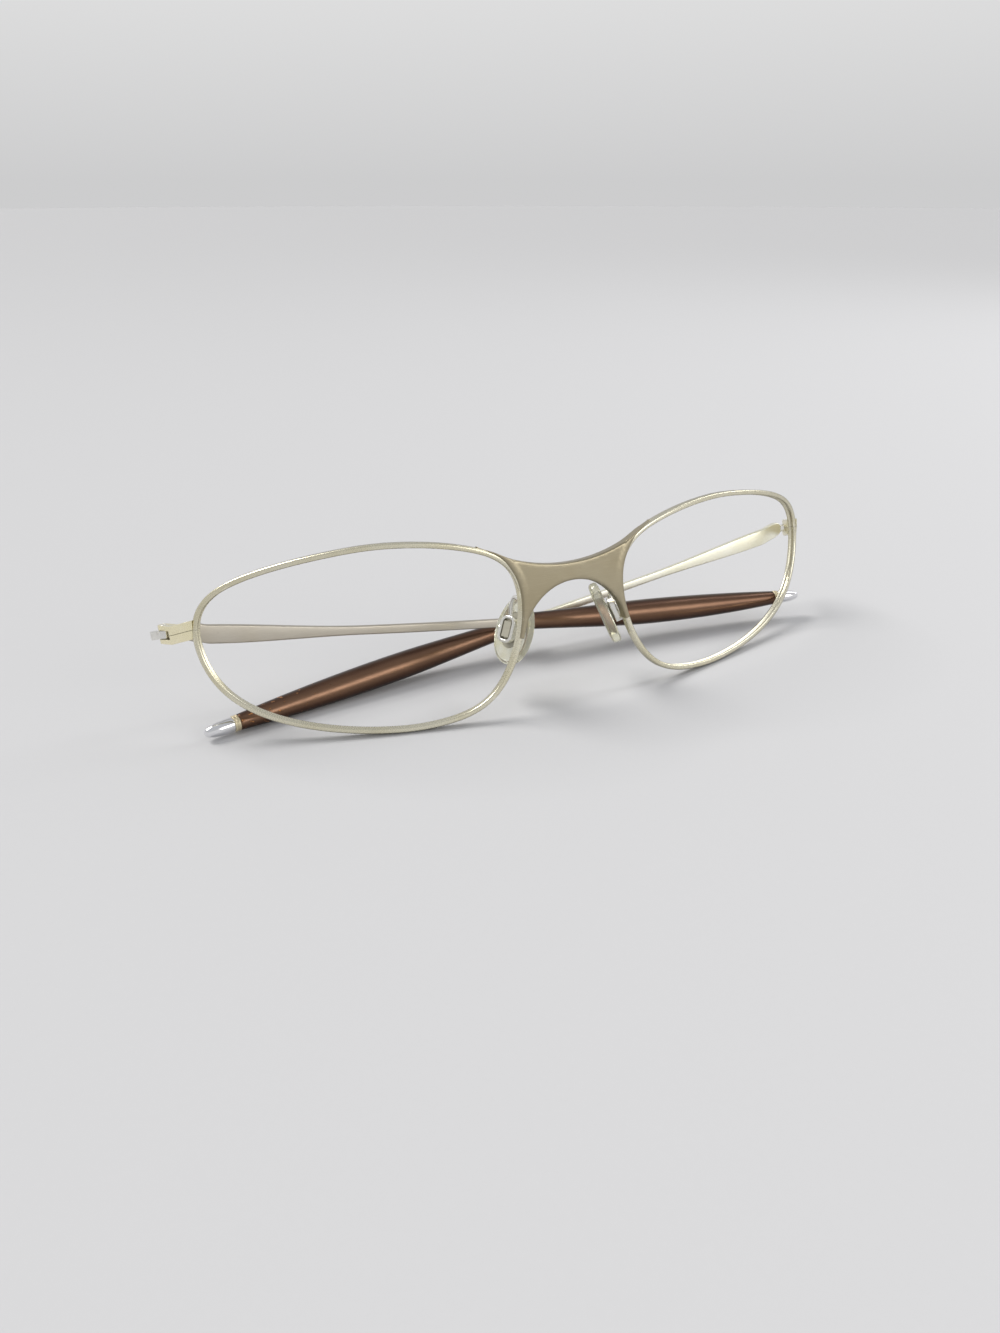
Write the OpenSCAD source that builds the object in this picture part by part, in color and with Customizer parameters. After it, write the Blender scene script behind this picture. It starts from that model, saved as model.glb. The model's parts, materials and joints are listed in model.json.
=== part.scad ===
// Wire-frame spectacles with no lenses, lying folded on a table.
// The front is drawn upright about the middle of its bridge (X across, Y back, Z up),
// then leant back and stood on Z = 0, on the lower rims and the temples.

/* [Front] */
// Radius of the wrap of each half of the front
wrap_r = 124; // [105:1:150]
// Half width of the flat middle of the front
wrap_flat = 5.5; // [3:0.5:8]
// Lean of the front from upright, as it lies folded
lean = 11.5; // [8:0.5:18]

/* [Rims] */
// Width of the rim wire, seen from the front
rim_w = 1.05; // [0.9:0.05:1.4]
// Depth of the rim wire, front to back
rim_d = 1.7; // [1.4:0.1:2.2]
// Depth of the lens groove
groove = 0.4; // [0.2:0.05:0.5]

/* [Bridge] */
// Radius of the hollow top edge
bridge_top_r = 33; // [28:1:40]
// Height of the middle of the top edge over the front's centre
bridge_top_z = 9.2; // [8.6:0.2:10]
// Half width of the arch over the nose
arch_w = 11.2; // [10.5:0.1:11.6]
// Height of the arch, from its own centre
arch_h = 11.8; // [10.8:0.2:12.6]
// Height of the arch's centre
arch_z = -6; // [-7:0.5:-5]
// How far the plate's front lies over the wires
bridge_lap = 0.3; // [0.2:0.05:0.5]

/* [Endpieces] */
// Place of the hinge pivot across the front
hinge_x = 70.5; // [68:0.5:73]
// Place of the hinge pivot behind the front's centre
hinge_y = 22.8; // [21:0.2:25]
// Height of the hinge pivot
hinge_z = 4.05; // [3:0.1:5]
// Thickness of the closing block, and width of its round end
block_t = 2; // [1.7:0.1:2.4]
// Height of the closing block
block_h = 3.3; // [3:0.1:4]
// Height of the slot for the hinge tongue
slot_h = 1.65; // [1.5:0.05:1.9]
// Depth of the slot in front of the pivot
slot_d = 2.3; // [2.2:0.1:2.8]

/* [Hinges and screws] */
// Height of the hinge tongue
tongue_h = 1.45; // [1.2:0.05:1.45]
// Reach of the tongue's outer stub from the pivot
stub_reach = 2.45; // [1.8:0.05:2.5]
// Radius of the hinge screw
hinge_screw_r = 0.58; // [0.45:0.01:0.6]
// Radius of the closing screw
closing_screw_r = 0.5; // [0.4:0.02:0.6]
// Radial running clearance of the tongue on its screw
running = 0.05; // [0.02:0.01:0.08]

/* [Temples] */
// Fold angle of the left temple from straight across
fold_left = 7.35; // [6:0.05:9]
// Fold angle of the right temple, which was folded first
fold_right = 1.7; // [0:0.05:3]
// Thickness of the temple strip
strip_t = 1.1; // [0.8:0.05:1.3]
// Height of the strip beyond its wide end
strip_h = 1.8; // [1.4:0.1:2]
// Height of the strip at its wide end
strip_wide_h = 3.6; // [3:0.1:4.4]
// Distance from the pivot to the ear sleeve
sleeve_start = 67; // [60:1:70]
// Length of the ear sleeve
sleeve_len = 62.9; // [55:0.1:68]
// Length of the end ring
ring_len = 1.1; // [0.8:0.1:1.6]
// Length of the bullet tip
tip_len = 5.3; // [4:0.1:7]

/* [Nose pads] */
// Length of a nose pad
pad_len = 13.2; // [11:0.1:15]
// Width of a nose pad
pad_w = 8.4; // [7:0.1:9.6]
// Thickness of a nose pad
pad_t = 1.7; // [1.4:0.1:2.2]
// Thickness of the pad arm wire
pad_wire_d = 0.9; // [0.7:0.05:1.1]
// Radius of the pad screw
pad_screw_r = 0.38; // [0.3:0.01:0.42]

/* [Hidden] */
$fn = 48;
champagne = [0.72, 0.67, 0.55];
cream = [0.80, 0.77, 0.66];
nickel = [0.85, 0.85, 0.84];
brown = [0.34, 0.21, 0.14];
clear_amber = [0.88, 0.87, 0.76];

// ---- Rim outline: control points of a closed cubic B-spline, X across and Z up
chamfer = 0.18;
rim_ctrl = [
    [67, 2.5], [64.75, 13], [42.25, 16.75], [32, 16.75], [20.75, 15], [9.5, 10.5],
    [10.75, -4.25], [17.25, -15], [27.25, -17], [36.25, -17], [50.75, -14.5], [63, -8.5]
];
spans = len(rim_ctrl);
ring_count = 96;
// Where round the rim its ends meet in the closing block, in spans
split_t = 0.28;
split_gap = 0.06;

function wrap_back(x) = let (a = max(0, abs(x) - wrap_flat)) wrap_r - sqrt(wrap_r * wrap_r - a * a);
function wrap_slope(x) = let (a = max(0, abs(x) - wrap_flat)) sign(x) * a / sqrt(wrap_r * wrap_r - a * a);
// The guide points outside the nasal part follow the hinge, so that the rim still ends in its block
rim_nasal = 21;
rim_grow = (hinge_x - 3.5 - rim_nasal) / (rim_ctrl[0].x - rim_nasal);
function ctrl(i) =
    let (p = rim_ctrl[(i + spans) % spans])
    [p.x + max(0, p.x - rim_nasal) * (rim_grow - 1), p.y];
function spline(t) =
    let (i = floor(t), f = t - i, g = 1 - f)
    (g * g * g * ctrl(i - 1) + (3 * f * f * f - 6 * f * f + 4) * ctrl(i)
        + (-3 * f * f * f + 3 * f * f + 3 * f + 1) * ctrl(i + 1) + f * f * f * ctrl(i + 2)) / 6;
function spline_way(t) = (spline(t + 0.02) - spline(t - 0.02)) / 0.04;
function unit(v) = v / norm(v);
function rim_centre(t) = let (p = spline(t)) [p.x, wrap_back(p.x), p.y];
// Directions across the wire: towards the front, and away from the lens
function rim_front(t) = unit([wrap_slope(spline(t).x), -1, 0]);
function rim_out(t) =
    let (p = spline(t), v = spline_way(t))
    unit(cross([v.x, wrap_slope(p.x) * v.x, v.y], rim_front(t)));
function rim_point(t, o, f) = rim_centre(t) + o * rim_out(t) + f * rim_front(t);

// Lean of the front and height of its centre over the table
function leant_z(p) = -p.y * sin(lean) + p.z * cos(lean);
rim_low = min([
    for (t = [7:0.1:11], k = [0, chamfer])
        leant_z(rim_point(t, rim_w / 2 - k, chamfer - k - rim_d / 2))
]);
// Distance that puts the middle of the whole depth at Y = 0
centre_back = 10.78;
module place() {
    translate([0, -centre_back, -rim_low]) rotate([-lean, 0, 0]) children();
}
module left_side() {
    place() children();
}
module right_side() {
    place() mirror([1, 0, 0]) children();
}

// ---- Rings of points joined into one closed skin, with flat ends
function skin_faces(rings, n) = concat(
    [[for (j = [0:n - 1]) j]],
    [for (i = [0:rings - 2], j = [0:n - 1])
        let (k = (j + 1) % n) [i * n + j, (i + 1) * n + j, (i + 1) * n + k, i * n + k]],
    [[for (j = [n - 1:-1:0]) (rings - 1) * n + j]]
);
module skin(rings) {
    polyhedron(
        points = [for (r = rings, p = r) p],
        faces = skin_faces(len(rings), len(rings[0])),
        convexity = 10
    );
}

// ---- Rim wire, with a groove where the lens sat
rim_section = let (w = rim_w / 2, d = rim_d / 2, c = chamfer) [
    [w, d - c], [w, c - d], [w - c, -d], [c - w, -d], [-w, c - d],
    [-w, -d / 2], [groove - w, 0], [-w, d / 2], [-w, d - c], [c - w, d], [w - c, d]
];
// Half the split, as a share of a span
split_half = split_gap / 2 / norm(spline_way(split_t));
module rim() {
    first = split_t + split_half;
    last = split_t - split_half + spans;
    skin([
        for (i = [0:ring_count])
            let (t = first + (last - first) * i / ring_count)
            [for (s = rim_section) rim_point(t, s.x, s.y)]
    ]);
}

// ---- Bridge: a wrapped plate between the rims, with a lip over their fronts
plate_steps = 24;
// Span range of the rim that the plate runs along, from its top limb to its leg
plate_top_t = 4.05;
plate_leg_t = 5.98;
function plate_edge(o) = [
    for (i = [0:plate_steps])
        let (p = rim_point(plate_top_t + (plate_leg_t - plate_top_t) * i / plate_steps, o, 0))
        [p.x, p.z]
];
module mirrored_pair() {
    children();
    mirror([1, 0]) children();
}
module plate_outline(o) {
    edge = plate_edge(o);
    top = edge[0];
    foot = edge[plate_steps];
    difference() {
        mirrored_pair() polygon(concat([[0, top.y], [top.x, top.y]], edge, [[foot.x - 2, foot.y], [0, foot.y]]));
        translate([0, bridge_top_z + bridge_top_r]) circle(bridge_top_r, $fn = 120);
        translate([0, arch_z]) scale([arch_w / arch_h, 1]) circle(arch_h, $fn = 96);
        translate([-arch_w, arch_z - arch_h]) square([2 * arch_w, arch_h]);
    }
}
// The part of the wrap between two distances in front of its middle surface
module wrap_layer(front, back) {
    reach = 24;
    linear_extrude(60, center = true) {
        translate([-wrap_flat, -front]) square([2 * wrap_flat, front - back]);
        mirrored_pair() intersection() {
            translate([wrap_flat, wrap_r]) difference() {
                circle(wrap_r + front, $fn = 200);
                circle(wrap_r + back, $fn = 200);
            }
            translate([wrap_flat, -5]) square([reach, 10]);
        }
    }
}
module plate_layer(o, front, back) {
    intersection() {
        rotate([90, 0, 0]) linear_extrude(24, center = true) plate_outline(o);
        wrap_layer(front, back);
    }
}
module bridge() {
    color(champagne) place() union() {
        plate_layer(rim_w / 2 - 0.05, rim_d / 2, -rim_d / 2);
        plate_layer(-rim_w / 4, rim_d / 2 + bridge_lap, rim_d / 2 - 0.02);
    }
}

// ---- Endpiece: a split block that closes the rim and forks round the hinge tongue
pivot = [hinge_x, hinge_y, hinge_z];
rim_end = rim_centre(split_t);
rim_corner = rim_point(split_t, rim_w / 2, rim_d / 2);
corner_x = rim_corner.x - hinge_x;
corner_y = rim_corner.y - hinge_y;
// Turn of the block that puts its outer face flush with the rim's front corner
block_turn = -acos(block_t / 2 / norm([corner_x, corner_y])) - atan2(corner_y, corner_x);
block_len = norm([corner_x, corner_y]);
block_rise = rim_end.z - hinge_z;
level_len = slot_d + 0.3;
closing_at = (level_len + block_len) / 2 + 0.3;
screw_fit = 0.02;
head_h = 0.4;
braze = 0.2;
module at_pivot() {
    translate(pivot) rotate([0, 0, -90 - block_turn]) children();
}
// Height of the split line at a distance in front of the pivot
function split_z(a) = a < level_len ? 0 : block_rise * (a - level_len) / (block_len - level_len);
module block_profile(up) {
    g = split_gap / 2;
    over = block_len + 2;
    h = block_h / 2;
    polygon([
        [-block_t / 2, up * slot_h / 2], [slot_d, up * slot_h / 2], [slot_d, up * g],
        [level_len, up * g], [over, split_z(over) + up * g], [over, split_z(over) + up * h],
        [level_len, up * h], [-block_t / 2, up * h]
    ]);
}
module block_half(up) {
    out = rim_out(split_t);
    difference() {
        intersection() {
            at_pivot() rotate([90, 0, 0]) linear_extrude(block_t, center = true) block_profile(up);
            at_pivot() union() {
                cylinder(h = 2 * block_h, r = block_t / 2, center = true);
                translate([0, -block_t, -block_h]) cube([block_len + 4, 2 * block_t, 3 * block_h]);
            }
            // Flat end, laid along the outer side of the rim
            translate(rim_centre(split_t) + out * (rim_w / 2 - braze))
                rotate([0, -asin(out.z), atan2(out.y, out.x)]) translate([0, -10, -15]) cube([30, 20, 30]);
        }
        at_pivot() {
            cylinder(h = 2 * block_h, r = hinge_screw_r + screw_fit, center = true);
            translate([0, 0, -block_h / 2 - 1]) cylinder(h = 1 + head_h, r = hinge_head_r + screw_fit);
            translate([closing_at, 0, -block_h]) cylinder(h = 3 * block_h, r = closing_screw_r + screw_fit);
            translate([closing_at, 0, closing_bottom - 1])
                cylinder(h = 1 + head_h, r = closing_head_r + screw_fit);
        }
    }
}
hinge_head_r = hinge_screw_r + 0.25;
closing_head_r = closing_screw_r + 0.25;
closing_bottom = split_z(closing_at) - block_h / 2 + 0.1;
closing_len = block_h - 0.3;
// A slotted screw, standing on its head
module slotted_screw(len, r, head_r) {
    difference() {
        union() {
            cylinder(h = len, r = r);
            cylinder(h = head_h - 0.02, r = head_r);
        }
        translate([-head_r, -0.1, -1]) cube([2 * head_r, 0.2, 1.2]);
    }
}
module hinge_screw() {
    at_pivot() translate([0, 0, -block_h / 2]) slotted_screw(block_h, hinge_screw_r, hinge_head_r);
}
module closing_screw() {
    at_pivot() translate([closing_at, 0, closing_bottom])
        slotted_screw(closing_len, closing_screw_r, closing_head_r);
}

// ---- Temples: U runs from the pivot to the tip, W backwards, V up
neck_start = 2.6;
shoulder_end = 4.8;
strip_front = -0.8;
// How far a temple has dropped and bowed at a distance u, as shares of u and u squared
drop_left = [-0.1925, 0.000473];
drop_right = [-0.179, 0.000547];
bow_left = -0.00134;
bow_right = -0.000625;
function temple_at(u, drop, bow) = [u, strip_front + bow * u * u, drop.x * u + drop.y * u * u];
function temple_way(u, drop, bow) = unit([1, 2 * bow * u, drop.x + 2 * drop.y * u]);
function temple_side(u, drop, bow) = unit(cross([0, 0, 1], temple_way(u, drop, bow)));
function temple_up(u, drop, bow) = cross(temple_way(u, drop, bow), temple_side(u, drop, bow));
module left_temple() {
    place() translate(pivot) mirror([1, 0, 0]) rotate([0, 0, fold_left]) children();
}
module right_temple() {
    place() mirror([1, 0, 0]) translate(pivot) mirror([1, 0, 0]) rotate([0, 0, fold_right]) children();
}
module hinge_tongue() {
    w = strip_t / 2;
    difference() {
        linear_extrude(tongue_h, center = true) {
            circle(block_t / 2);
            translate([-stub_reach, -w]) square([stub_reach, 2 * w]);
            polygon([[0, w], [0, -w], [neck_start, strip_front - w], [neck_start, strip_front + w]]);
        }
        cylinder(h = 2 * tongue_h, r = hinge_screw_r + running, center = true);
    }
}
function smooth(a) = let (b = min(1, max(0, a))) b * b * (3 - 2 * b);
taper_start = 8;
taper_end = 36;
function strip_height(u) =
    u < shoulder_end
        ? tongue_h + (strip_wide_h - tongue_h) * sqrt(max(0, 1 - pow((shoulder_end - u) / (shoulder_end - neck_start), 2)))
        : strip_h + (strip_wide_h - strip_h) * (1 - smooth((u - taper_start) / (taper_end - taper_start)));
function strip_section(h, t) =
    let (a = h / 2, b = t / 2, c = min(a, b) * 0.45)
    [[b, a - c], [b - c, a], [c - b, a], [-b, a - c], [-b, c - a], [c - b, -a], [b - c, -a], [b, c - a]];
// Stations along the strip, close together at its shoulder
strip_stations = concat(
    [for (a = [0:15:90]) neck_start + (shoulder_end - neck_start) * (1 - cos(a))],
    [for (u = [7:3:sleeve_start + sleeve_len - 4]) u]
);
module temple_arm(drop, bow) {
    skin([
        for (u = strip_stations)
            let (at = temple_at(u, drop, bow) - [0, 0, u < 7 ? drop.x * u * (7 - u) / (7 - neck_start) : 0])
            [for (s = strip_section(strip_height(u), strip_t)) at + [0, s.x, s.y]]
    ]);
}
sleeve_r_start = 1.7;
sleeve_r_full = 2.7;
sleeve_r_end = 1.5;
sleeve_bore = 1.1;
sleeve_full_at = 0.52;
// Radius at a share of the sleeve's length: it swells, then narrows to the end ring
function sleeve_r(a) = a < sleeve_full_at
    ? sleeve_r_start + (sleeve_r_full - sleeve_r_start) * smooth(a / sleeve_full_at)
    : sleeve_r_end + (sleeve_r_full - sleeve_r_end) * (1 - pow((a - sleeve_full_at) / (1 - sleeve_full_at), 2));
sleeve_sides = 16;
sleeve_rings = 30;
module temple_tube(drop, bow, first, last, rings, bore) {
    skin([
        for (i = [0:rings])
            let (
                u = first + (last - first) * i / rings,
                at = temple_at(u, drop, bow),
                r = bore > 0 ? bore : sleeve_r((u - sleeve_start) / sleeve_len)
            )
            [for (j = [0:sleeve_sides - 1])
                let (q = 360 * j / sleeve_sides)
                at + r * (cos(q) * temple_side(u, drop, bow) + sin(q) * temple_up(u, drop, bow))]
    ]);
}
sleeve_end = sleeve_start + sleeve_len;
module sleeve(drop, bow) {
    difference() {
        temple_tube(drop, bow, sleeve_start, sleeve_end, sleeve_rings, 0);
        temple_tube(drop, bow, sleeve_start - 1, sleeve_end + 1, sleeve_rings, sleeve_bore);
    }
}
// Turns Z along the temple at a distance u
module along_temple(u, drop, bow) {
    way = temple_way(u, drop, bow);
    translate(temple_at(u, drop, bow)) rotate([0, acos(way.z), atan2(way.y, way.x)]) children();
}
spigot_r = 0.8;
spigot_len = 3;
module end_ring(drop, bow) {
    along_temple(sleeve_end, drop, bow) difference() {
        cylinder(h = ring_len, r = sleeve_r_end);
        translate([0, 0, -1]) cylinder(h = ring_len + 2, r = spigot_r + screw_fit);
    }
}
// A bullet: a short parallel length, then an arc to a small round nose
tip_r = 1.42;
nose_r = 0.35;
tip_straight = 0.6;
module tip(drop, bow) {
    steps = 10;
    arc_len = tip_len - tip_straight;
    along_temple(sleeve_end, drop, bow) {
        translate([0, 0, 0.3 - spigot_len]) cylinder(h = spigot_len + ring_len, r = spigot_r);
        translate([0, 0, ring_len]) rotate_extrude() polygon(concat(
            [[0, 0], [tip_r, 0]],
            [for (i = [0:steps])
                let (q = 90 * i / steps)
                [nose_r + (tip_r - nose_r) * cos(q), tip_straight + arc_len * sin(q)]],
            [[0, tip_len]]
        ));
    }
}

// ---- Nose pads: X away from the nose, Y across the pad, Z along it
pad_centre = [9.98, 5.17, -3.16];
pad_turn = [7, -20.5, -25];
pad_rings = [[-0.56, 0.62], [-0.52, 0.8], [-0.38, 0.93], [-0.14, 1], [0.14, 0.99], [0.34, 0.92], [0.44, 0.82]];
pad_sides = 28;
core_t = 0.5;
core_w = 3.6;
core_len = 7;
stem_w = 1.7;
stem_len = 3;
box_gap = 0.35;
box_t = 0.6;
box_deep = 1.4;
box_w = stem_w + 0.5 + 2 * box_t;
box_len = stem_len + 0.9 + 2 * box_t;
pad_back = 0.44 * pad_t;
box_x = pad_back + box_gap + box_deep / 2;
module at_pad() {
    translate(pad_centre) rotate(pad_turn) children();
}
module rounded_bar(w, len, thick) {
    r = w / 2;
    rotate([0, 90, 0]) linear_extrude(thick) {
        translate([len / 2 - r, 0]) circle(r);
        translate([r - len / 2, 0]) circle(r);
        translate([r - len / 2, -r]) square([len - w, w]);
    }
}
// An egg outline, a little wider below its middle
module nose_pad() {
    at_pad() difference() {
        skin([
            for (ring = pad_rings)
                [for (j = [0:pad_sides - 1])
                    let (q = 360 * j / pad_sides, s = ring.y)
                    [ring.x * pad_t, pad_w / 2 * s * cos(q) * (1 - 0.08 * sin(q)), pad_len / 2 * s * sin(q)]]
        ]);
        translate([pad_back - core_t, 0, 0]) rounded_bar(core_w + 0.04, core_len + 0.04, core_t + 1);
    }
}
module pad_core() {
    at_pad() difference() {
        union() {
            translate([pad_back - core_t, 0, 0]) rounded_bar(core_w, core_len, core_t);
            translate([pad_back - 0.1, -stem_w / 2, -stem_len / 2])
                cube([box_gap + box_deep + 0.1, stem_w, stem_len]);
        }
        translate([box_x, 0, 0]) rotate([90, 0, 0])
            cylinder(h = 2 * stem_w, r = pad_screw_r + running, center = true);
    }
}
module pad_box() {
    difference() {
        translate([box_x - box_deep / 2, 0, 0]) rounded_box(box_w, box_len, box_deep, 0.8);
        translate([box_x - box_deep, 0, 0]) rounded_box(box_w - 2 * box_t, box_len - 2 * box_t, 2 * box_deep, 0.3);
        translate([box_x, 0, 0]) rotate([90, 0, 0])
            cylinder(h = 2 * box_w, r = pad_screw_r + screw_fit, center = true);
    }
}
module rounded_box(w, len, thick, r) {
    rotate([0, 90, 0]) linear_extrude(thick) {
        square([len - 2 * r, w], center = true);
        square([len, w - 2 * r], center = true);
        for (a = [-1, 1], b = [-1, 1]) translate([a * (len / 2 - r), b * (w / 2 - r)]) circle(r);
    }
}
// A round wire through a list of points, with ball corners
module wire(points, d) {
    for (i = [0:len(points) - 2]) {
        way = points[i + 1] - points[i];
        translate(points[i]) rotate([0, acos(way.z / norm(way)), atan2(way.y, way.x)])
            cylinder(h = norm(way), r = d / 2, $fn = 24);
    }
    for (i = [1:len(points) - 2]) translate(points[i]) sphere(d = 1.06 * d, $fn = 24);
}
// Point of the pad's own frame, in the front's frame
function turn_x(p, a) = [p.x, p.y * cos(a) - p.z * sin(a), p.y * sin(a) + p.z * cos(a)];
function turn_y(p, a) = [p.x * cos(a) + p.z * sin(a), p.y, -p.x * sin(a) + p.z * cos(a)];
function turn_z(p, a) = [p.x * cos(a) - p.y * sin(a), p.x * sin(a) + p.y * cos(a), p.z];
function pad_point(p) = pad_centre + turn_z(turn_y(turn_x(p, pad_turn.x), pad_turn.y), pad_turn.z);
// Where round the rim the pad arm is brazed to its back
pad_arm_t = 5.45;
module pad_arm() {
    root = rim_point(pad_arm_t, 0, -rim_d / 2);
    seat = pad_point([box_x, 0, box_len / 2 - 0.15]);
    wire([root - [0, braze, 0], root + [0.1, 1.6, 0.3], seat + [0.1, -0.7, 2.4], seat], pad_wire_d);
    at_pad() pad_box();
}
module pad_screw() {
    at_pad() translate([box_x, box_w / 2 + head_h, 0]) rotate([90, 0, 0])
        slotted_screw(box_w + head_h, pad_screw_r, pad_screw_r + 0.22);
}

bridge();
color(champagne) left_side() rim();  // rim_left
color(champagne) right_side() rim();  // rim_right
color(champagne) left_side() block_half(1);  // block_upper_left
color(champagne) left_side() block_half(-1);  // block_lower_left
color(champagne) right_side() block_half(1);  // block_upper_right
color(champagne) right_side() block_half(-1);  // block_lower_right
color(nickel) left_side() closing_screw();  // closing_screw_left
color(nickel) right_side() closing_screw();  // closing_screw_right
color(nickel) left_side() hinge_screw();  // hinge_screw_left
color(nickel) right_side() hinge_screw();  // hinge_screw_right
color(nickel) left_side() pad_arm();  // pad_arm_left
color(nickel) right_side() pad_arm();  // pad_arm_right
color(nickel) left_side() pad_screw();  // pad_screw_left
color(nickel) right_side() pad_screw();  // pad_screw_right
color(cream) left_side() pad_core();  // pad_core_left
color(cream) right_side() pad_core();  // pad_core_right
color(clear_amber) left_side() nose_pad();  // nose_pad_left
color(clear_amber) right_side() nose_pad();  // nose_pad_right
color(nickel) left_temple() hinge_tongue();  // hinge_tongue_left
color(nickel) right_temple() hinge_tongue();  // hinge_tongue_right
color(cream) left_temple() temple_arm(drop_left, bow_left);  // temple_arm_left
color(cream) right_temple() temple_arm(drop_right, bow_right);  // temple_arm_right
color(brown) left_temple() sleeve(drop_left, bow_left);  // sleeve_left
color(brown) right_temple() sleeve(drop_right, bow_right);  // sleeve_right
color(cream) left_temple() end_ring(drop_left, bow_left);  // end_ring_left
color(cream) right_temple() end_ring(drop_right, bow_right);  // end_ring_right
color(nickel) left_temple() tip(drop_left, bow_left);  // tip_left
color(nickel) right_temple() tip(drop_right, bow_right);  // tip_right
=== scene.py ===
"""Worn wire spectacles with no lenses, lying folded on a pale studio floor.

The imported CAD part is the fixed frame. Every visible surface is rebuilt here as a finer piece
that stands for its CAD node, rides on that node's body and carries a procedural finish.
Lengths inside the builders are millimetres in the upright space of the spectacles' front.
"""

import json
import logging
import math
from dataclasses import dataclass, field
from enum import Enum
from typing import Callable, Optional, Sequence, Union

import bmesh
import bpy
import numpy as np
from mathutils import Matrix, Vector
from mathutils.geometry import delaunay_2d_cdt

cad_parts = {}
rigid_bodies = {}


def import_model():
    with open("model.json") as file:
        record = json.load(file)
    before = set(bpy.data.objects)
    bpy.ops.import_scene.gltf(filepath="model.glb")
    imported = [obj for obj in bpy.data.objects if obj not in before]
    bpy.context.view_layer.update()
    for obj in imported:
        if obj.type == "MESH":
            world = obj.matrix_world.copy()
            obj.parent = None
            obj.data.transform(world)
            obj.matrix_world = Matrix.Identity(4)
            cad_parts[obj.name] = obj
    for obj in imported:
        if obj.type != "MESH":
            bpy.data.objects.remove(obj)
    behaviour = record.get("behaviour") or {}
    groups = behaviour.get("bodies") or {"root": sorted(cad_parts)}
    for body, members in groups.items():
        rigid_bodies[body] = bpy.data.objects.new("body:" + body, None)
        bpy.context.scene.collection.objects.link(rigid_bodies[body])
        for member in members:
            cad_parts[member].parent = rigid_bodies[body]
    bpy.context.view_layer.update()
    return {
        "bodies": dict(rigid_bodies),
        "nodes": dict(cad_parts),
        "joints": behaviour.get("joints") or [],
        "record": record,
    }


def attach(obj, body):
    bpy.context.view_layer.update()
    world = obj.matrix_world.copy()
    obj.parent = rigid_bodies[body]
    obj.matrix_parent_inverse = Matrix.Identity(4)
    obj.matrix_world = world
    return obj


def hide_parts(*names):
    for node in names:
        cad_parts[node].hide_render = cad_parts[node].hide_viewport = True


LOG = logging.getLogger("spectacles")
MM = 0.001
# The least radius of a turned ring, so that its points stay apart until they are welded
AXIS_RADIUS = 1e-4
Array = np.ndarray
Triple = tuple[float, float, float]
Color = Triple
Socket = bpy.types.NodeSocket
Value = Union[Socket, float]
Tint = Union[Socket, Color]
Placing = Callable[[Array], Array]


class Side(Enum):
    """The wearer's two sides. The value is the sign of X."""

    LEFT = 1
    RIGHT = -1

    @property
    def label(self) -> str:
        """The word that node names end with."""
        return self.name.lower()


class Slot(Enum):
    """The record's material slots."""

    FRAME = "satin_frame"
    TEMPLE = "satin_temple"
    FITTING = "bright_fittings"
    TIP = "polished_tip"
    RING = "pale_ring"
    SLEEVE = "brown_sleeve"
    PAD = "pad_plastic"
    PLATE = "pad_plate"


# --------------------------------------------------------------------------------------
# Small numeric helpers
# --------------------------------------------------------------------------------------


def unit(v: Array) -> Array:
    """Scales vectors to length one.

    Args:
        v: one vector or rows of vectors.
    Returns:
        The unit vectors, in the same shape.
    """
    return v / np.maximum(np.linalg.norm(v, axis=-1, keepdims=True), 1e-12)


def smooth(a: Array | float) -> Array | float:
    """Eases a share of 0 to 1 in and out, and clamps what lies outside.

    Args:
        a: one share or an array of them.
    Returns:
        The eased shares.
    """
    b = np.clip(a, 0.0, 1.0)
    return b * b * (3 - 2 * b)


def turned(points: Array, degrees: Sequence[float]) -> Array:
    """Turns points about X, then Y, then Z.

    Args:
        points: rows of x, y, z.
        degrees: the three angles.
    Returns:
        The turned rows.
    """
    out = points
    for axis, angle in zip("XYZ", degrees):
        m = np.array(Matrix.Rotation(math.radians(angle), 3, axis))
        out = out @ m.T
    return out


def rounded_rectangle(width: float, height: float, radius: float, steps: int = 5) -> Array:
    """A counter-clockwise rounded rectangle about the origin.

    Args:
        width: full size along the first axis.
        height: full size along the second axis.
        radius: corner radius.
        steps: points in each corner.
    Returns:
        Rows of two coordinates.
    """
    a, b = width / 2 - radius, height / 2 - radius
    rows = []
    for sx, sy, start in ((1, 1, 0), (-1, 1, 90), (-1, -1, 180), (1, -1, 270)):
        for i in range(steps):
            q = math.radians(start + 90 * i / (steps - 1))
            rows.append((sx * a + radius * math.cos(q), sy * b + radius * math.sin(q)))
    return np.array(rows)


# --------------------------------------------------------------------------------------
# The spectacles' own geometry, shared by the pieces
# --------------------------------------------------------------------------------------


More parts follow.
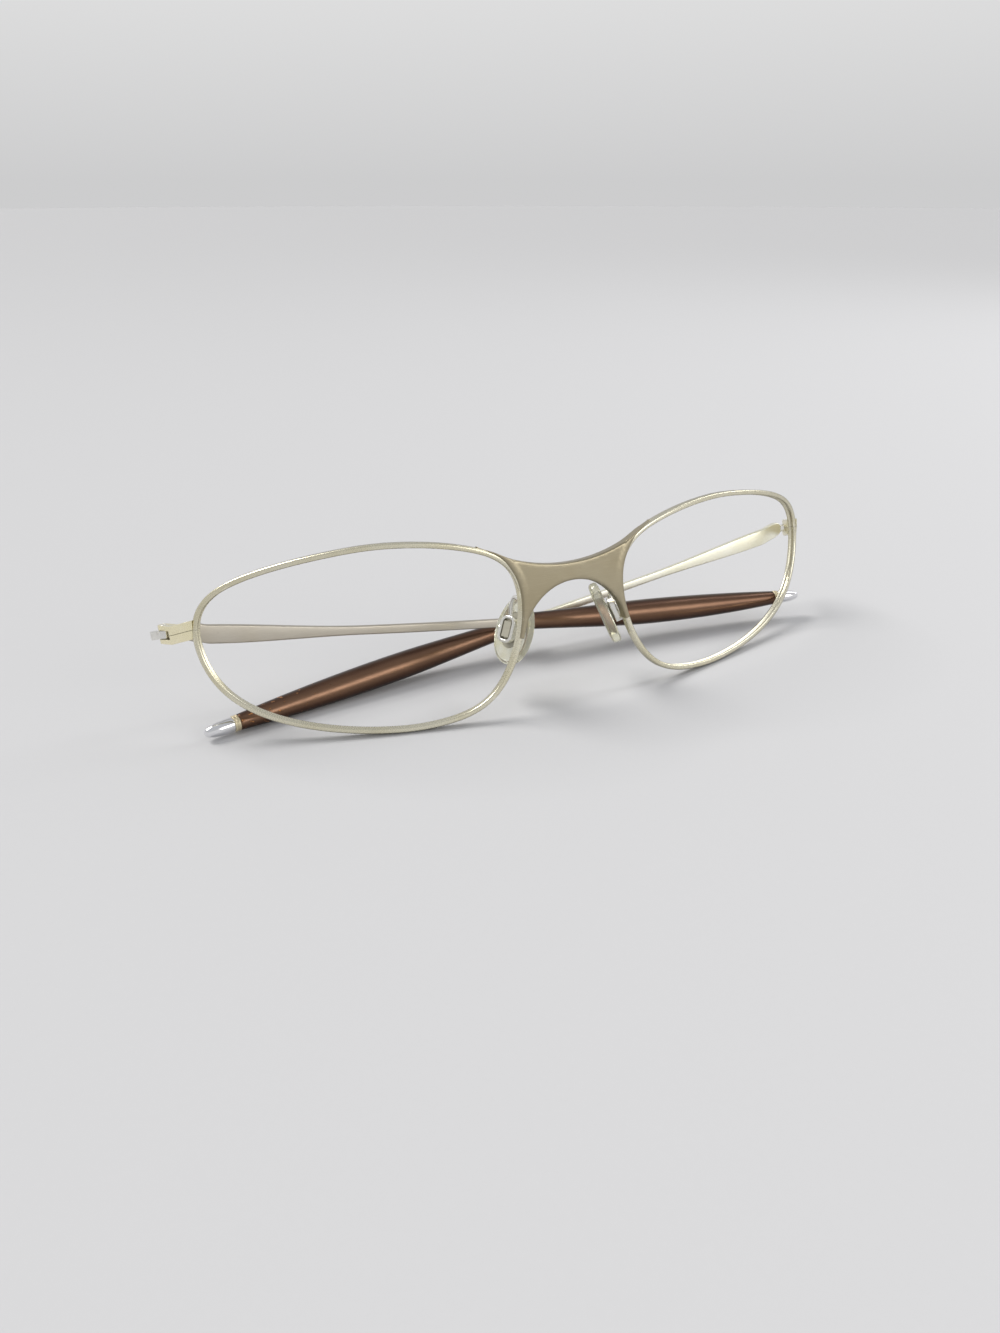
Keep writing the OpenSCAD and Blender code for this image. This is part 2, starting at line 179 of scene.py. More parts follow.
@dataclass(frozen=True)
class FrontSpace:
    """Places the upright front's millimetres in the row frame, from the CAD hinge joint."""

    lean: float
    shift: tuple[float, float, float]

    # The left hinge's middle, in the front's own millimetres
    PIVOT = (70.5, 22.8, 4.05)

    @classmethod
    def from_joints(cls, joints: list[dict]) -> "FrontSpace":
        """Works out the lean and the place from the left temple's hinge.

        Args:
            joints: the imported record's joints.
        Returns:
            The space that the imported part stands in.
        """
        hinge = next(j for j in joints if j["name"] == "temple_left_hinge")
        lean = math.atan2(abs(hinge["axis"][1]), abs(hinge["axis"][2]))
        x, y, z = cls.PIVOT
        c, s = math.cos(lean), math.sin(lean)
        leant = (x, y * c + z * s, z * c - y * s)
        shift = tuple(p - q * MM for p, q in zip(hinge["pos_m"], leant))
        return cls(lean, shift)

    def row(self, points: Array) -> Array:
        """Turns front millimetres into row-frame metres.

        Args:
            points: one point or rows of x, y, z.
        Returns:
            The points in the row frame, in the same shape.
        """
        c, s = math.cos(self.lean), math.sin(self.lean)
        p = np.asarray(points, dtype=float)
        y, z = p[..., 1], p[..., 2]
        out = np.stack([p[..., 0], y * c + z * s, z * c - y * s], axis=-1)
        return out * MM + np.array(self.shift)

    def direction(self, v: Sequence[float]) -> Vector:
        """Turns a direction of the front into the row frame.

        Args:
            v: the direction's x, y, z.
        Returns:
            The same direction in the row frame.
        """
        c, s = math.cos(self.lean), math.sin(self.lean)
        return Vector((v[0], v[1] * c + v[2] * s, v[2] * c - v[1] * s))


@dataclass(frozen=True)
class Wrap:
    """The bow of the front: flat in the middle, then an arc to each side."""

    radius: float = 124.0
    flat: float = 5.5

    def back(self, x: Array, front: float = 0.0) -> Array:
        """How far back a layer of the wrap lies.

        Args:
            x: places across the front.
            front: distance of the layer in front of the middle surface.
        Returns:
            The Y of the layer at each place.
        """
        a = np.maximum(0.0, np.abs(x) - self.flat)
        return self.radius - np.sqrt((self.radius + front) ** 2 - a * a)

    def slope(self, x: Array) -> Array:
        """The slope of the middle surface at each place across the front."""
        a = np.maximum(0.0, np.abs(x) - self.flat)
        return np.sign(x) * a / np.sqrt(self.radius**2 - a * a)


@dataclass(frozen=True)
class RimCurve:
    """The closed centre line of the left rim, as a cubic B-spline on the wrap.

    Width and depth are the wire's. Split is where its ends meet, in spans, and split_gap the gap there.
    """

    wrap: Wrap = Wrap()
    width: float = 1.05
    depth: float = 1.7
    split: float = 0.28
    split_gap: float = 0.06

    CONTROL = (
        (67, 2.5), (64.75, 13), (42.25, 16.75), (32, 16.75), (20.75, 15), (9.5, 10.5),
        (10.75, -4.25), (17.25, -15), (27.25, -17), (36.25, -17), (50.75, -14.5), (63, -8.5),
    )

    @property
    def spans(self) -> int:
        """How many spans go once round."""
        return len(self.CONTROL)

    def flat_point(self, t: Array, order: int = 0) -> Array:
        """The curve in X and Z, or its first derivative.

        Args:
            t: places round the rim, in spans.
            order: 0 for the point, 1 for the derivative.
        Returns:
            Rows of x and z.
        """
        t = np.atleast_1d(np.asarray(t, dtype=float))
        i = np.floor(t).astype(int)
        f = t - i
        g = 1 - f
        if order == 0:
            basis = (g**3, 3 * f**3 - 6 * f**2 + 4, -3 * f**3 + 3 * f**2 + 3 * f + 1, f**3)
        else:
            basis = (-3 * g**2, 9 * f**2 - 12 * f, -9 * f**2 + 6 * f + 3, 3 * f**2)
        points = np.array(self.CONTROL, dtype=float)
        rows = [points[(i + k) % self.spans] * w[:, None] for k, w in zip((-1, 0, 1, 2), basis)]
        return sum(rows) / 6

    def frame(self, t: Array) -> tuple[Array, Array, Array]:
        """Centre, outward and forward directions of the wire.

        Args:
            t: places round the rim, in spans.
        Returns:
            Three arrays of rows.
        """
        p, d = self.flat_point(t), self.flat_point(t, 1)
        slope = self.wrap.slope(p[:, 0])
        centre = np.stack([p[:, 0], self.wrap.back(p[:, 0]), p[:, 1]], axis=1)
        way = np.stack([d[:, 0], slope * d[:, 0], d[:, 1]], axis=1)
        front = unit(np.stack([slope, -np.ones_like(slope), np.zeros_like(slope)], axis=1))
        return centre, unit(np.cross(way, front)), front

    def point(self, t: Array, out: Array | float, front: Array | float) -> Array:
        """Points beside the wire's centre line.

        Args:
            t: places round the rim, in spans.
            out: distances away from the lens.
            front: distances forward.
        Returns:
            Rows of x, y, z.
        """
        centre, o, f = self.frame(t)
        return centre + np.reshape(out, (-1, 1)) * o + np.reshape(front, (-1, 1)) * f


@dataclass(frozen=True)
class TempleCurve:
    """One folded temple's centre line. U runs from the pivot to the tip, W back and V up.

    Fold is its angle to the front's line in degrees. Drop and bow bend it down and back.
    """

    side: Side
    fold: float
    drop: tuple[float, float]
    bow: float
    strip_front: float = -0.8

    def at(self, u: Array) -> Array:
        """Rows of u, w and v on the centre line.

        Args:
            u: places along the temple.
        Returns:
            Rows of u, w and v.
        """
        u = np.atleast_1d(np.asarray(u, dtype=float))
        return np.stack(
            [u, self.strip_front + self.bow * u * u, self.drop[0] * u + self.drop[1] * u * u], axis=1
        )

    def axes(self, u: Array) -> tuple[Array, Array, Array]:
        """Directions along, to the side of and above the centre line.

        Args:
            u: places along the temple.
        Returns:
            Three arrays of unit rows.
        """
        u = np.atleast_1d(np.asarray(u, dtype=float))
        way = unit(np.stack([np.ones_like(u), 2 * self.bow * u, self.drop[0] + 2 * self.drop[1] * u], axis=1))
        side = unit(np.cross(np.array([0.0, 0.0, 1.0]), way))
        return way, side, np.cross(way, side)

    def front(self, points: Array) -> Array:
        """Turns u, w, v into the front's own millimetres.

        Args:
            points: rows of u, w and v.
        Returns:
            Rows of x, y and z.
        """
        p = np.asarray(points, dtype=float)
        c, s = math.cos(math.radians(self.fold)), math.sin(math.radians(self.fold))
        x = p[..., 0] * c - p[..., 1] * s
        y = p[..., 0] * s + p[..., 1] * c
        pivot = FrontSpace.PIVOT
        return np.stack(
            [self.side.value * (pivot[0] - x), pivot[1] + y, pivot[2] + p[..., 2]], axis=-1
        )


TEMPLES = {
    Side.LEFT: TempleCurve(Side.LEFT, 7.35, (-0.1925, 0.000473), -0.00134),
    Side.RIGHT: TempleCurve(Side.RIGHT, 1.7, (-0.179, 0.000547), -0.000625),
}


# --------------------------------------------------------------------------------------
# Mesh building
# --------------------------------------------------------------------------------------


@dataclass
class MeshDraft:
    """Vertices and faces on their way to a Blender object, in front millimetres."""

    verts: list[Array] = field(default_factory=list)
    faces: list[tuple[int, ...]] = field(default_factory=list)
    count: int = 0

    def add(self, points: Array) -> int:
        """Adds rows of points.

        Args:
            points: rows of x, y, z.
        Returns:
            The index of the first.
        """
        first = self.count
        self.verts.append(np.asarray(points, dtype=float).reshape(-1, 3))
        self.count += len(self.verts[-1])
        return first

    def skin(self, rings: Array, closed: bool = False, caps: bool = True) -> None:
        """Joins rings of points into a tube.

        Args:
            rings: array of rings, points and coordinates.
            closed: whether the last ring meets the first.
            caps: whether open ends are filled.
        """
        m, n = rings.shape[:2]
        first = self.add(rings)
        for i in range(m if closed else m - 1):
            a, b = first + i * n, first + ((i + 1) % m) * n
            for j in range(n):
                k = (j + 1) % n
                self.faces.append((a + j, b + j, b + k, a + k))
        if caps and not closed:
            self.faces.append(tuple(first + j for j in range(n)))
            self.faces.append(tuple(first + (m - 1) * n + j for j in reversed(range(n))))

    def lathe(
        self, profile: Sequence[tuple[float, float]], place: Placing, sides: int, hollow: bool = False
    ) -> None:
        """Turns a profile of radius and height about its axis.

        Args:
            profile: radius and height pairs.
            place: puts local x, y, z points in the front's space.
            sides: points in each ring.
            hollow: whether the profile closes on itself, as a ring's does, or runs from axis to axis.
        """
        angles = np.linspace(0, 2 * math.pi, sides, endpoint=False)
        rows = [(max(r, AXIS_RADIUS), h) for r, h in profile]
        rings = np.array([[(r * math.cos(q), r * math.sin(q), h) for q in angles] for r, h in rows])
        self.skin(place(rings.reshape(-1, 3)).reshape(rings.shape), closed=hollow)

    def object(self, name: str, space: FrontSpace, crease: float = 38.0) -> bpy.types.Object:
        """Makes the Blender object.

        Args:
            name: the piece's name.
            space: where the front stands.
            crease: the angle in degrees over which an edge stays sharp.
        Returns:
            The new object, in the scene.
        """
        mesh = bpy.data.meshes.new(name)
        mesh.from_pydata(space.row(np.vstack(self.verts)).tolist(), [], self.faces)
        return finish_mesh(name, mesh, crease)


def finish_mesh(name: str, mesh: bpy.types.Mesh, crease: float, weld: float = 2e-7) -> bpy.types.Object:
    """Welds, turns all faces outwards, shades and links a mesh.

    Args:
        name: the piece's name.
        mesh: its data.
        crease: the angle in degrees over which an edge stays sharp.
        weld: the distance under which points join, in metres.
    Returns:
        The new object.
    """
    bm = bmesh.new()
    bm.from_mesh(mesh)
    bmesh.ops.remove_doubles(bm, verts=bm.verts, dist=weld)
    bmesh.ops.recalc_face_normals(bm, faces=bm.faces)
    bm.to_mesh(mesh)
    bm.free()
    mesh.shade_smooth()
    mesh.set_sharp_from_angle(angle=math.radians(crease))
    piece = bpy.data.objects.new(name, mesh)
    bpy.context.scene.collection.objects.link(piece)
    return piece


def cad_detail(
    node: bpy.types.Object, name: str, bevel: float, crease: float = 30.0
) -> bpy.types.Object:
    """A finer piece from a CAD node's own solid: joined facets and softened edges.

    Args:
        node: the CAD node.
        name: the new piece's name.
        bevel: edge radius in millimetres.
        crease: the angle in degrees over which an edge is softened.
    Returns:
        The new object.
    """
    mesh = node.data.copy()
    mesh.name = name
    mesh.materials.clear()
    bm = bmesh.new()
    bm.from_mesh(mesh)
    bmesh.ops.remove_doubles(bm, verts=bm.verts, dist=1e-6)
    bmesh.ops.dissolve_limit(bm, angle_limit=math.radians(1.0), verts=bm.verts, edges=bm.edges)
    bm.to_mesh(mesh)
    bm.free()
    piece = finish_mesh(name, mesh, crease)
    soften = piece.modifiers.new("soft_edges", "BEVEL")
    soften.width = bevel * MM
    soften.segments = 3
    soften.limit_method = "ANGLE"
    soften.angle_limit = math.radians(crease)
    soften.harden_normals = True
    return piece


# --------------------------------------------------------------------------------------
# Finishes
# --------------------------------------------------------------------------------------


@dataclass
class Nodes:
    """A short way to lay out a material's node tree."""

    material: bpy.types.Material

    def __post_init__(self) -> None:
        """Clears the tree and adds its output and its coordinates."""
        self.material.use_nodes = True
        self.tree = self.material.node_tree
        self.tree.nodes.clear()
        self.output = self.tree.nodes.new("ShaderNodeOutputMaterial")
        place = self.tree.nodes.new("ShaderNodeTexCoord")
        self.coords, self.normals = place.outputs["Object"], place.outputs["Normal"]

    def new(self, kind: str, inputs: Optional[dict] = None, **settings: object) -> bpy.types.Node:
        """Adds a node.

        Args:
            kind: the node type, without its ShaderNode prefix.
            inputs: values or sockets for its inputs, by name or index.
            **settings: attributes of the node.
        Returns:
            The node.
        """
        node = self.tree.nodes.new("ShaderNode" + kind)
        for key, value in settings.items():
            setattr(node, key, value)
        for key, value in (inputs or {}).items():
            if isinstance(value, Socket):
                self.tree.links.new(value, node.inputs[key])
            else:
                node.inputs[key].default_value = value
        return node

    def noise(self, scale: Sequence[float], detail: float = 3.0, rough: float = 0.55) -> Socket:
        """A noise whose scale may differ along each axis.

        Args:
            scale: features per metre along x, y and z.
            detail: how many finer layers it has.
            rough: how strong the finer layers are.
        Returns:
            A socket with values about 0.5.
        """
        stretched = self.new("Mapping", {"Vector": self.coords, "Scale": tuple(scale)})
        made = self.new(
            "TexNoise",
            {"Vector": stretched.outputs[0], "Scale": 1.0, "Detail": detail, "Roughness": rough},
        )
        return made.outputs["Fac"]

    def band(self, value: Socket, low: float, high: float, start: float = 0.0, end: float = 1.0) -> Socket:
        """Maps a range of a value to another range, clamped and eased.

        Args:
            value: the socket to map.
            low: the value that gives start.
            high: the value that gives end.
            start: the result at and beyond low.
            end: the result at and beyond high.
        Returns:
            The mapped socket.
        """
        made = self.new(
            "MapRange",
            {"Value": value, "From Min": low, "From Max": high, "To Min": start, "To Max": end},
            interpolation_type="SMOOTHSTEP",
        )
        return made.outputs["Result"]

    def sharpness(self) -> Socket:
        """How far the surface juts out, over 0.5 at an edge and under it in a hollow."""
        return self.new("NewGeometry").outputs["Pointiness"]

    def facing(self) -> Socket:
        """How far the surface turns away from the viewer, 0 head on and 1 edge on."""
        return self.new("LayerWeight", {"Blend": 0.5}).outputs["Facing"]

    def nearness(self, reach: float) -> Socket:
        """How closed in the surface is by what lies within a reach in metres, 1 in a tight corner."""
        node = self.new("AmbientOcclusion", {"Distance": reach}, samples=8)
        return self.math("SUBTRACT", 1.0, node.outputs["AO"])

    def math(self, operation: str, a: Value, b: Value) -> Socket:
        """A math node on two values or sockets."""
        return self.new("Math", {0: a, 1: b}, operation=operation).outputs[0]

    def times(self, a: Value, b: Value) -> Socket:
        """The product of two values or sockets."""
        return self.math("MULTIPLY", a, b)

    def mix(self, factor: Value, a: Tint, b: Tint) -> Socket:
        """A colour mix.

        Args:
            factor: the share of the second colour.
            a: the first colour, as three numbers or a socket.
            b: the second colour.
        Returns:
            The mixed colour.
        """
        node = self.tree.nodes.new("ShaderNodeMix")
        node.data_type = "RGBA"
        for index, value in ((0, factor), (6, a), (7, b)):
            if isinstance(value, Socket):
                self.tree.links.new(value, node.inputs[index])
            else:
                node.inputs[index].default_value = value if index == 0 else (*value, 1.0)
        return node.outputs[2]

    def bump(
        self, height: Socket, distance: float, strength: float = 1.0, normal: Optional[Socket] = None
    ) -> Socket:
        """A bump, on top of an earlier one.

        Args:
            height: the relief, from 0 to 1.
            distance: how high 1 stands, in metres.
            strength: the share of the relief that shows.
            normal: an earlier bump.
        Returns:
            The bent normal.
        """
        inputs = {"Height": height, "Distance": distance, "Strength": strength}
        if normal is not None:
            inputs["Normal"] = normal
        return self.new("Bump", inputs).outputs[0]

    def shader(self, **inputs: Union[Value, Tint]) -> bpy.types.Node:
        """The principled shader, joined to the output.

        Args:
            **inputs: values or sockets by the input's name, with underscores for spaces.
        Returns:
            The shader node.
        """
        node = self.new("BsdfPrincipled", {k.replace("_", " "): v for k, v in inputs.items()})
        self.tree.links.new(node.outputs[0], self.output.inputs["Surface"])
        return node


@dataclass(frozen=True)
class Finish:
    """A surface finish. Each kind lays out its own nodes."""

    name: str
    slot: Slot

    def build(self) -> bpy.types.Material:
        """Makes the Blender material.

        Returns:
            The material.
        """
        material = bpy.data.materials.new(self.name)
        self.lay_out(Nodes(material))
        return material

    def lay_out(self, kit: Nodes) -> None:
        """Adds the finish's nodes."""
        raise NotImplementedError


@dataclass(frozen=True)
class SatinMetal(Finish):
    """Plated metal with a fine satin grain, rubbed edges, and dirt with painted shade in its hollows and
    corners.

    Tone and warm are its two tints. Brush is the grain's density along x, y and z, in features per
    metre. Shade paints shade on faces seen edge on, and under paints shade on those that look down.
    """

    tone: Color = (0.35, 0.307, 0.215)
    warm: Color = (0.33, 0.285, 0.192)
    # The dark tint for dirt and for the painted shade in hollows and corners
    dirt: Color = (0.15, 0.115, 0.075)
    roughness: float = 0.34
    brush: tuple[float, float, float] = (350.0, 7000.0, 7000.0)
    brush_depth: float = 2e-6
    streak: float = 0.18
    # How strong the dirt and the painted shade in hollows and corners are
    grime: float = 0.5
    stain: float = 0.22
    shade: float = 0.15
    # How much painted shade falls on faces that look down
    under: float = 0.55
    # How dark the painted shade is, as a share of the warm tint
    deepening: float = 0.36
    corner_reach: float = 0.0005
    grain_depth: float = 1.2e-6

    def lay_out(self, kit: Nodes) -> None:
        """Adds the finish's nodes.

        Args:
            kit: the material's node tree.
        """
        streaks = kit.noise(self.brush, 4.0, 0.6)
        clouds = kit.noise((85.0,) * 3, 3.0)
        patches = kit.noise((420.0, 560.0, 560.0), 5.0, 0.7)
        grain = kit.noise((7000.0,) * 3, 2.0)
        sharp = kit.sharpness()
        edge = kit.band(sharp, 0.53, 0.62)
        hollow = kit.band(sharp, 0.47, 0.40)
        # Two tints in soft clouds, with lighter streaks and rubbed edges
        colour = kit.mix(kit.band(clouds, 0.38, 0.68), self.tone, self.warm)
        lighter = tuple(min(1.0, c * 1.3 + 0.05) for c in self.tone)
        colour = kit.mix(kit.times(kit.band(streaks, 0.45, 0.75), self.streak), colour, lighter)
        colour = kit.mix(kit.times(edge, 0.6), colour, lighter)
        # Painted shade in hollows and tight corners, where dirt also sits, and dirt in a few stains
        corner = kit.band(kit.nearness(self.corner_reach), 0.35, 0.95)
        stain = kit.times(kit.band(patches, 0.58, 0.74), self.stain * self.grime)
        hidden = kit.math("MAXIMUM", hollow, kit.times(corner, 0.9))
        dirt = kit.math("MAXIMUM", kit.times(hidden, self.grime), stain)
        colour = kit.mix(dirt, colour, self.dirt)
        # Painted shade: faces seen edge on or looking down are darker
        deep = tuple(c * self.deepening for c in self.warm)
        colour = kit.mix(kit.times(kit.band(kit.facing(), 0.42, 0.95), self.shade), colour, deep)
        height = kit.new("SeparateXYZ", {0: kit.normals}).outputs[2]
        colour = kit.mix(kit.times(kit.band(height, -0.25, -0.8), self.under), colour, deep)
        # Dirt and painted shade are dull, and rubbed edges are bright
        spread = kit.band(streaks, 0.3, 0.7, self.roughness - 0.04, self.roughness + 0.05)
        rough = kit.math("ADD", spread, kit.times(dirt, 0.30))
        rough = kit.math("SUBTRACT", rough, kit.times(edge, 0.10))
        normal = kit.bump(streaks, self.brush_depth)
        normal = kit.bump(grain, self.grain_depth, 0.8, normal)
        kit.shader(Base_Color=colour, Metallic=1.0, Roughness=rough, Normal=normal)


@dataclass(frozen=True)
class PolishedMetal(Finish):
    """Bright metal with hairline scuffs, small dull spots and painted shade in its hollows."""

    tone: Color = (0.80, 0.80, 0.80)
    # The tint of dull spots and of the painted shade in hollows
    dull: Color = (0.50, 0.48, 0.44)
    roughness: float = 0.14
    scuffs: float = 0.5

    def lay_out(self, kit: Nodes) -> None:
        """Adds the finish's nodes.

        Args:
            kit: the material's node tree.
        """
        hair = kit.noise((500.0, 5200.0, 3800.0), 5.0, 0.7)
        spots = kit.noise((900.0,) * 3, 4.0, 0.6)
        hollow = kit.band(kit.sharpness(), 0.47, 0.40)
        scuff = kit.times(kit.band(hair, 0.55, 0.72), self.scuffs)
        # Dull spots, and painted shade in the hollows
        dull = kit.math("MAXIMUM", kit.times(kit.band(spots, 0.58, 0.72), 0.45), hollow)
        colour = kit.mix(kit.times(dull, 0.8), self.tone, self.dull)
        rough = kit.math("ADD", self.roughness, kit.times(kit.math("MAXIMUM", scuff, dull), 0.30))
        normal = kit.bump(hair, 3e-6)
        kit.shader(Base_Color=colour, Metallic=1.0, Roughness=rough, Normal=normal)


@dataclass(frozen=True)
class BrownLacquer(Finish):
    """Metallic brown lacquer: fine flake, dulled by handling, and chipped to copper towards -X, with a
    painted sheen where it faces the viewer and painted shade towards its outline.

    The chips begin at chip_from metres from the middle and are thickest from chip_to.
    """

    tone: Color = (0.088, 0.043, 0.026)
    # A lighter tone of the paint, used for its flake and clouds and for the painted sheen where it faces the
    # viewer
    light: Color = (0.20, 0.112, 0.068)
    # The painted shade towards the outline
    deep: Color = (0.022, 0.010, 0.007)
    copper: Color = (0.50, 0.22, 0.08)
    bare: Color = (0.05, 0.028, 0.018)
    chip_edge: float = 0.75
    chip_from: float = 0.030
    chip_to: float = 0.056
    chips: float = 0.125

    def lay_out(self, kit: Nodes) -> None:
        """Adds the finish's nodes.

        Args:
            kit: the material's node tree.
        """
        flake = kit.noise((11000.0,) * 3, 1.0)
        clouds = kit.noise((90.0, 160.0, 160.0), 3.0)
        long_wear = kit.noise((420.0, 2600.0, 2600.0), 4.0, 0.65)
        spots = kit.noise((700.0, 1000.0, 1000.0), 5.0, 0.62)
        across = kit.new("SeparateXYZ", {0: kit.coords}).outputs[0]
        near_end = kit.band(across, -self.chip_from, -self.chip_to)
        edge = kit.math("SUBTRACT", self.chip_edge, kit.times(near_end, self.chips))
        chip = kit.band(kit.math("SUBTRACT", spots, edge), 0.0, 0.018)
        rim = kit.band(kit.math("SUBTRACT", spots, edge), -0.03, 0.0)
        # Painted sheen where the paint faces the viewer and painted shade towards its outline
        facing = kit.facing()
        colour = kit.mix(kit.band(facing, 0.02, 0.30, 1.0, 0.0), self.tone, self.light)
        colour = kit.mix(kit.times(kit.band(clouds, 0.35, 0.7), 0.25), colour, self.light)
        colour = kit.mix(kit.times(kit.band(flake, 0.5, 0.75), 0.45), colour, self.light)
        # Painted shade towards the outline
        colour = kit.mix(kit.times(kit.band(facing, 0.22, 0.80), 0.85), colour, self.deep)
        # Handling wear, then the dark rims of the chips and their copper
        colour = kit.mix(kit.times(kit.band(long_wear, 0.60, 0.78), 0.30), colour, self.bare)
        colour = kit.mix(kit.times(rim, 0.7), colour, self.bare)
        colour = kit.mix(chip, colour, self.copper)
        rough = kit.math("ADD", kit.band(long_wear, 0.35, 0.7, 0.28, 0.36), kit.times(chip, 0.12))
        normal = kit.bump(kit.math("SUBTRACT", flake, kit.times(chip, 6.0)), 4e-6)
        normal = kit.bump(long_wear, 5e-6, 0.6, normal)
        kit.shader(
            Base_Color=colour, Metallic=0.9, Roughness=rough, Normal=normal,
            Coat_Weight=0.12, Coat_Roughness=0.25,
        )


@dataclass(frozen=True)
class PadPlastic(Finish):
    """Clear pad plastic, gone slightly yellow, with specks of skin grease."""

    clear: Color = (0.94, 0.935, 0.82)
    aged: Color = (0.87, 0.84, 0.62)
    grease: Color = (0.55, 0.50, 0.34)

    def lay_out(self, kit: Nodes) -> None:
        """Adds the finish's nodes.

        Args:
            kit: the material's node tree.
        """
        clouds = kit.noise((380.0,) * 3, 3.0)
        specks = kit.noise((2600.0,) * 3, 4.0, 0.7)
        colour = kit.mix(kit.band(clouds, 0.40, 0.66), self.clear, self.aged)
        colour = kit.mix(kit.times(kit.band(specks, 0.62, 0.76), 0.5), colour, self.grease)
        rough = kit.band(specks, 0.35, 0.7, 0.06, 0.20)
        normal = kit.bump(clouds, 1.5e-5)
        kit.shader(Base_Color=colour, Roughness=rough, Normal=normal, IOR=1.46, Transmission_Weight=0.82)


@dataclass(frozen=True)
class PaintedPlastic(Finish):
    """Opaque satin plastic or enamel with a worn, grubby surface and painted shade in its hollows."""

    tone: Color = (0.74, 0.72, 0.64)
    # The tint of grubby patches and of the painted shade in hollows
    grubby: Color = (0.46, 0.42, 0.32)
    roughness: float = 0.42
    metallic: float = 0.0

    def lay_out(self, kit: Nodes) -> None:
        """Adds the finish's nodes.

        Args:
            kit: the material's node tree.
        """
        clouds = kit.noise((700.0,) * 3, 4.0)
        grain = kit.noise((3600.0,) * 3, 3.0, 0.7)
        hollow = kit.band(kit.sharpness(), 0.48, 0.40)
        # Grubby clouds, and painted shade in the hollows
        dirt = kit.math("MAXIMUM", kit.times(kit.band(clouds, 0.52, 0.72), 0.55), hollow)
        colour = kit.mix(dirt, self.tone, self.grubby)
        rough = kit.band(grain, 0.3, 0.7, self.roughness - 0.06, self.roughness + 0.12)
        normal = kit.bump(grain, 4e-6)
        kit.shader(Base_Color=colour, Metallic=self.metallic, Roughness=rough, Normal=normal)


FRAME_METAL = SatinMetal("champagne_satin", Slot.FRAME)
# The wire is the bridge plate's metal; its lighter tone paints in the light its rounded faces catch, and
# shade paints shade where it is seen edge on
RIM_METAL = SatinMetal(
    "champagne_wire", Slot.FRAME, tone=(0.72, 0.685, 0.55), warm=(0.67, 0.625, 0.46), roughness=0.27,
    brush=(5000.0, 5000.0, 5000.0), brush_depth=1e-6, streak=0.1, grime=0.6, shade=0.8,
)
BLOCK_METAL = SatinMetal(
    "brushed_endpiece", Slot.FRAME, tone=(0.93, 0.86, 0.62), warm=(0.88, 0.80, 0.52), roughness=0.30,
    brush=(300.0, 5000.0, 5000.0), brush_depth=6e-6, streak=0.3, grime=0.6, shade=0.3,
)
STRIP_METAL = SatinMetal(
    "champagne_strip", Slot.TEMPLE, tone=(0.515, 0.475, 0.405), warm=(0.485, 0.44, 0.36), roughness=0.36,
    shade=0.4,
)
# A lit copy of the strip metal: its paler tone is a painted reflection of the light that the left strip
# catches
LIT_COPY_STRIP_METAL = SatinMetal(
    "rubbed_strip", Slot.TEMPLE, tone=(0.88, 0.86, 0.74), warm=(0.84, 0.81, 0.64), roughness=0.36,
)
NICKEL = PolishedMetal("bright_nickel", Slot.FITTING, tone=(0.78, 0.77, 0.73), roughness=0.20)
CHROME = PolishedMetal("scuffed_chrome", Slot.TIP, tone=(0.80, 0.80, 0.82), roughness=0.10, scuffs=0.4)
LACQUER = BrownLacquer("brown_lacquer", Slot.SLEEVE)
CLEAR_PAD = PadPlastic("aged_clear_plastic", Slot.PAD)
CORE_PLATE = PaintedPlastic("core_plate", Slot.PLATE, tone=(0.44, 0.42, 0.34), grubby=(0.26, 0.23, 0.17))
CREAM_RING = PaintedPlastic(
    "worn_cream_ring", Slot.RING, tone=(0.66, 0.58, 0.40), grubby=(0.33, 0.23, 0.12), roughness=0.34,
    metallic=0.6,
)


# --------------------------------------------------------------------------------------
# Sub-assemblies
# --------------------------------------------------------------------------------------


@dataclass
class Workshop:
    """What every sub-assembly needs: the frame, the space, and one material per finish."""

    frame: dict
    space: FrontSpace
    materials: dict[str, bpy.types.Material] = field(default_factory=dict)

    def add(self, piece: bpy.types.Object, finish: Finish, body: str, *nodes: str) -> bpy.types.Object:
        """Gives a piece its finish's material, its body and its CAD nodes.

        Args:
            piece: the object.
            finish: its finish.
            body: the CAD body that it rides on.
            *nodes: the CAD nodes that it stands for.
        Returns:
            The same object.
        """
        if finish.name not in self.materials:
            self.materials[finish.name] = finish.build()
        piece.data.materials.clear()
        piece.data.materials.append(self.materials[finish.name])
        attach(piece, body)
        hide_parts(*nodes)
        LOG.info("%s: %d faces on %s", piece.name, len(piece.data.polygons), body)
        return piece

    def from_cad(self, node: str, body: str, finish: Finish, bevel: float) -> bpy.types.Object:
        """Adds a detailed piece made from a CAD node's own solid.

        Args:
            node: the CAD node.
            body: the CAD body that it belongs to.
            finish: the piece's finish.
            bevel: edge radius in millimetres.
        Returns:
            The piece.
        """
        piece = cad_detail(self.frame["nodes"][node], "fine_" + node, bevel)
        return self.add(piece, finish, body, node)


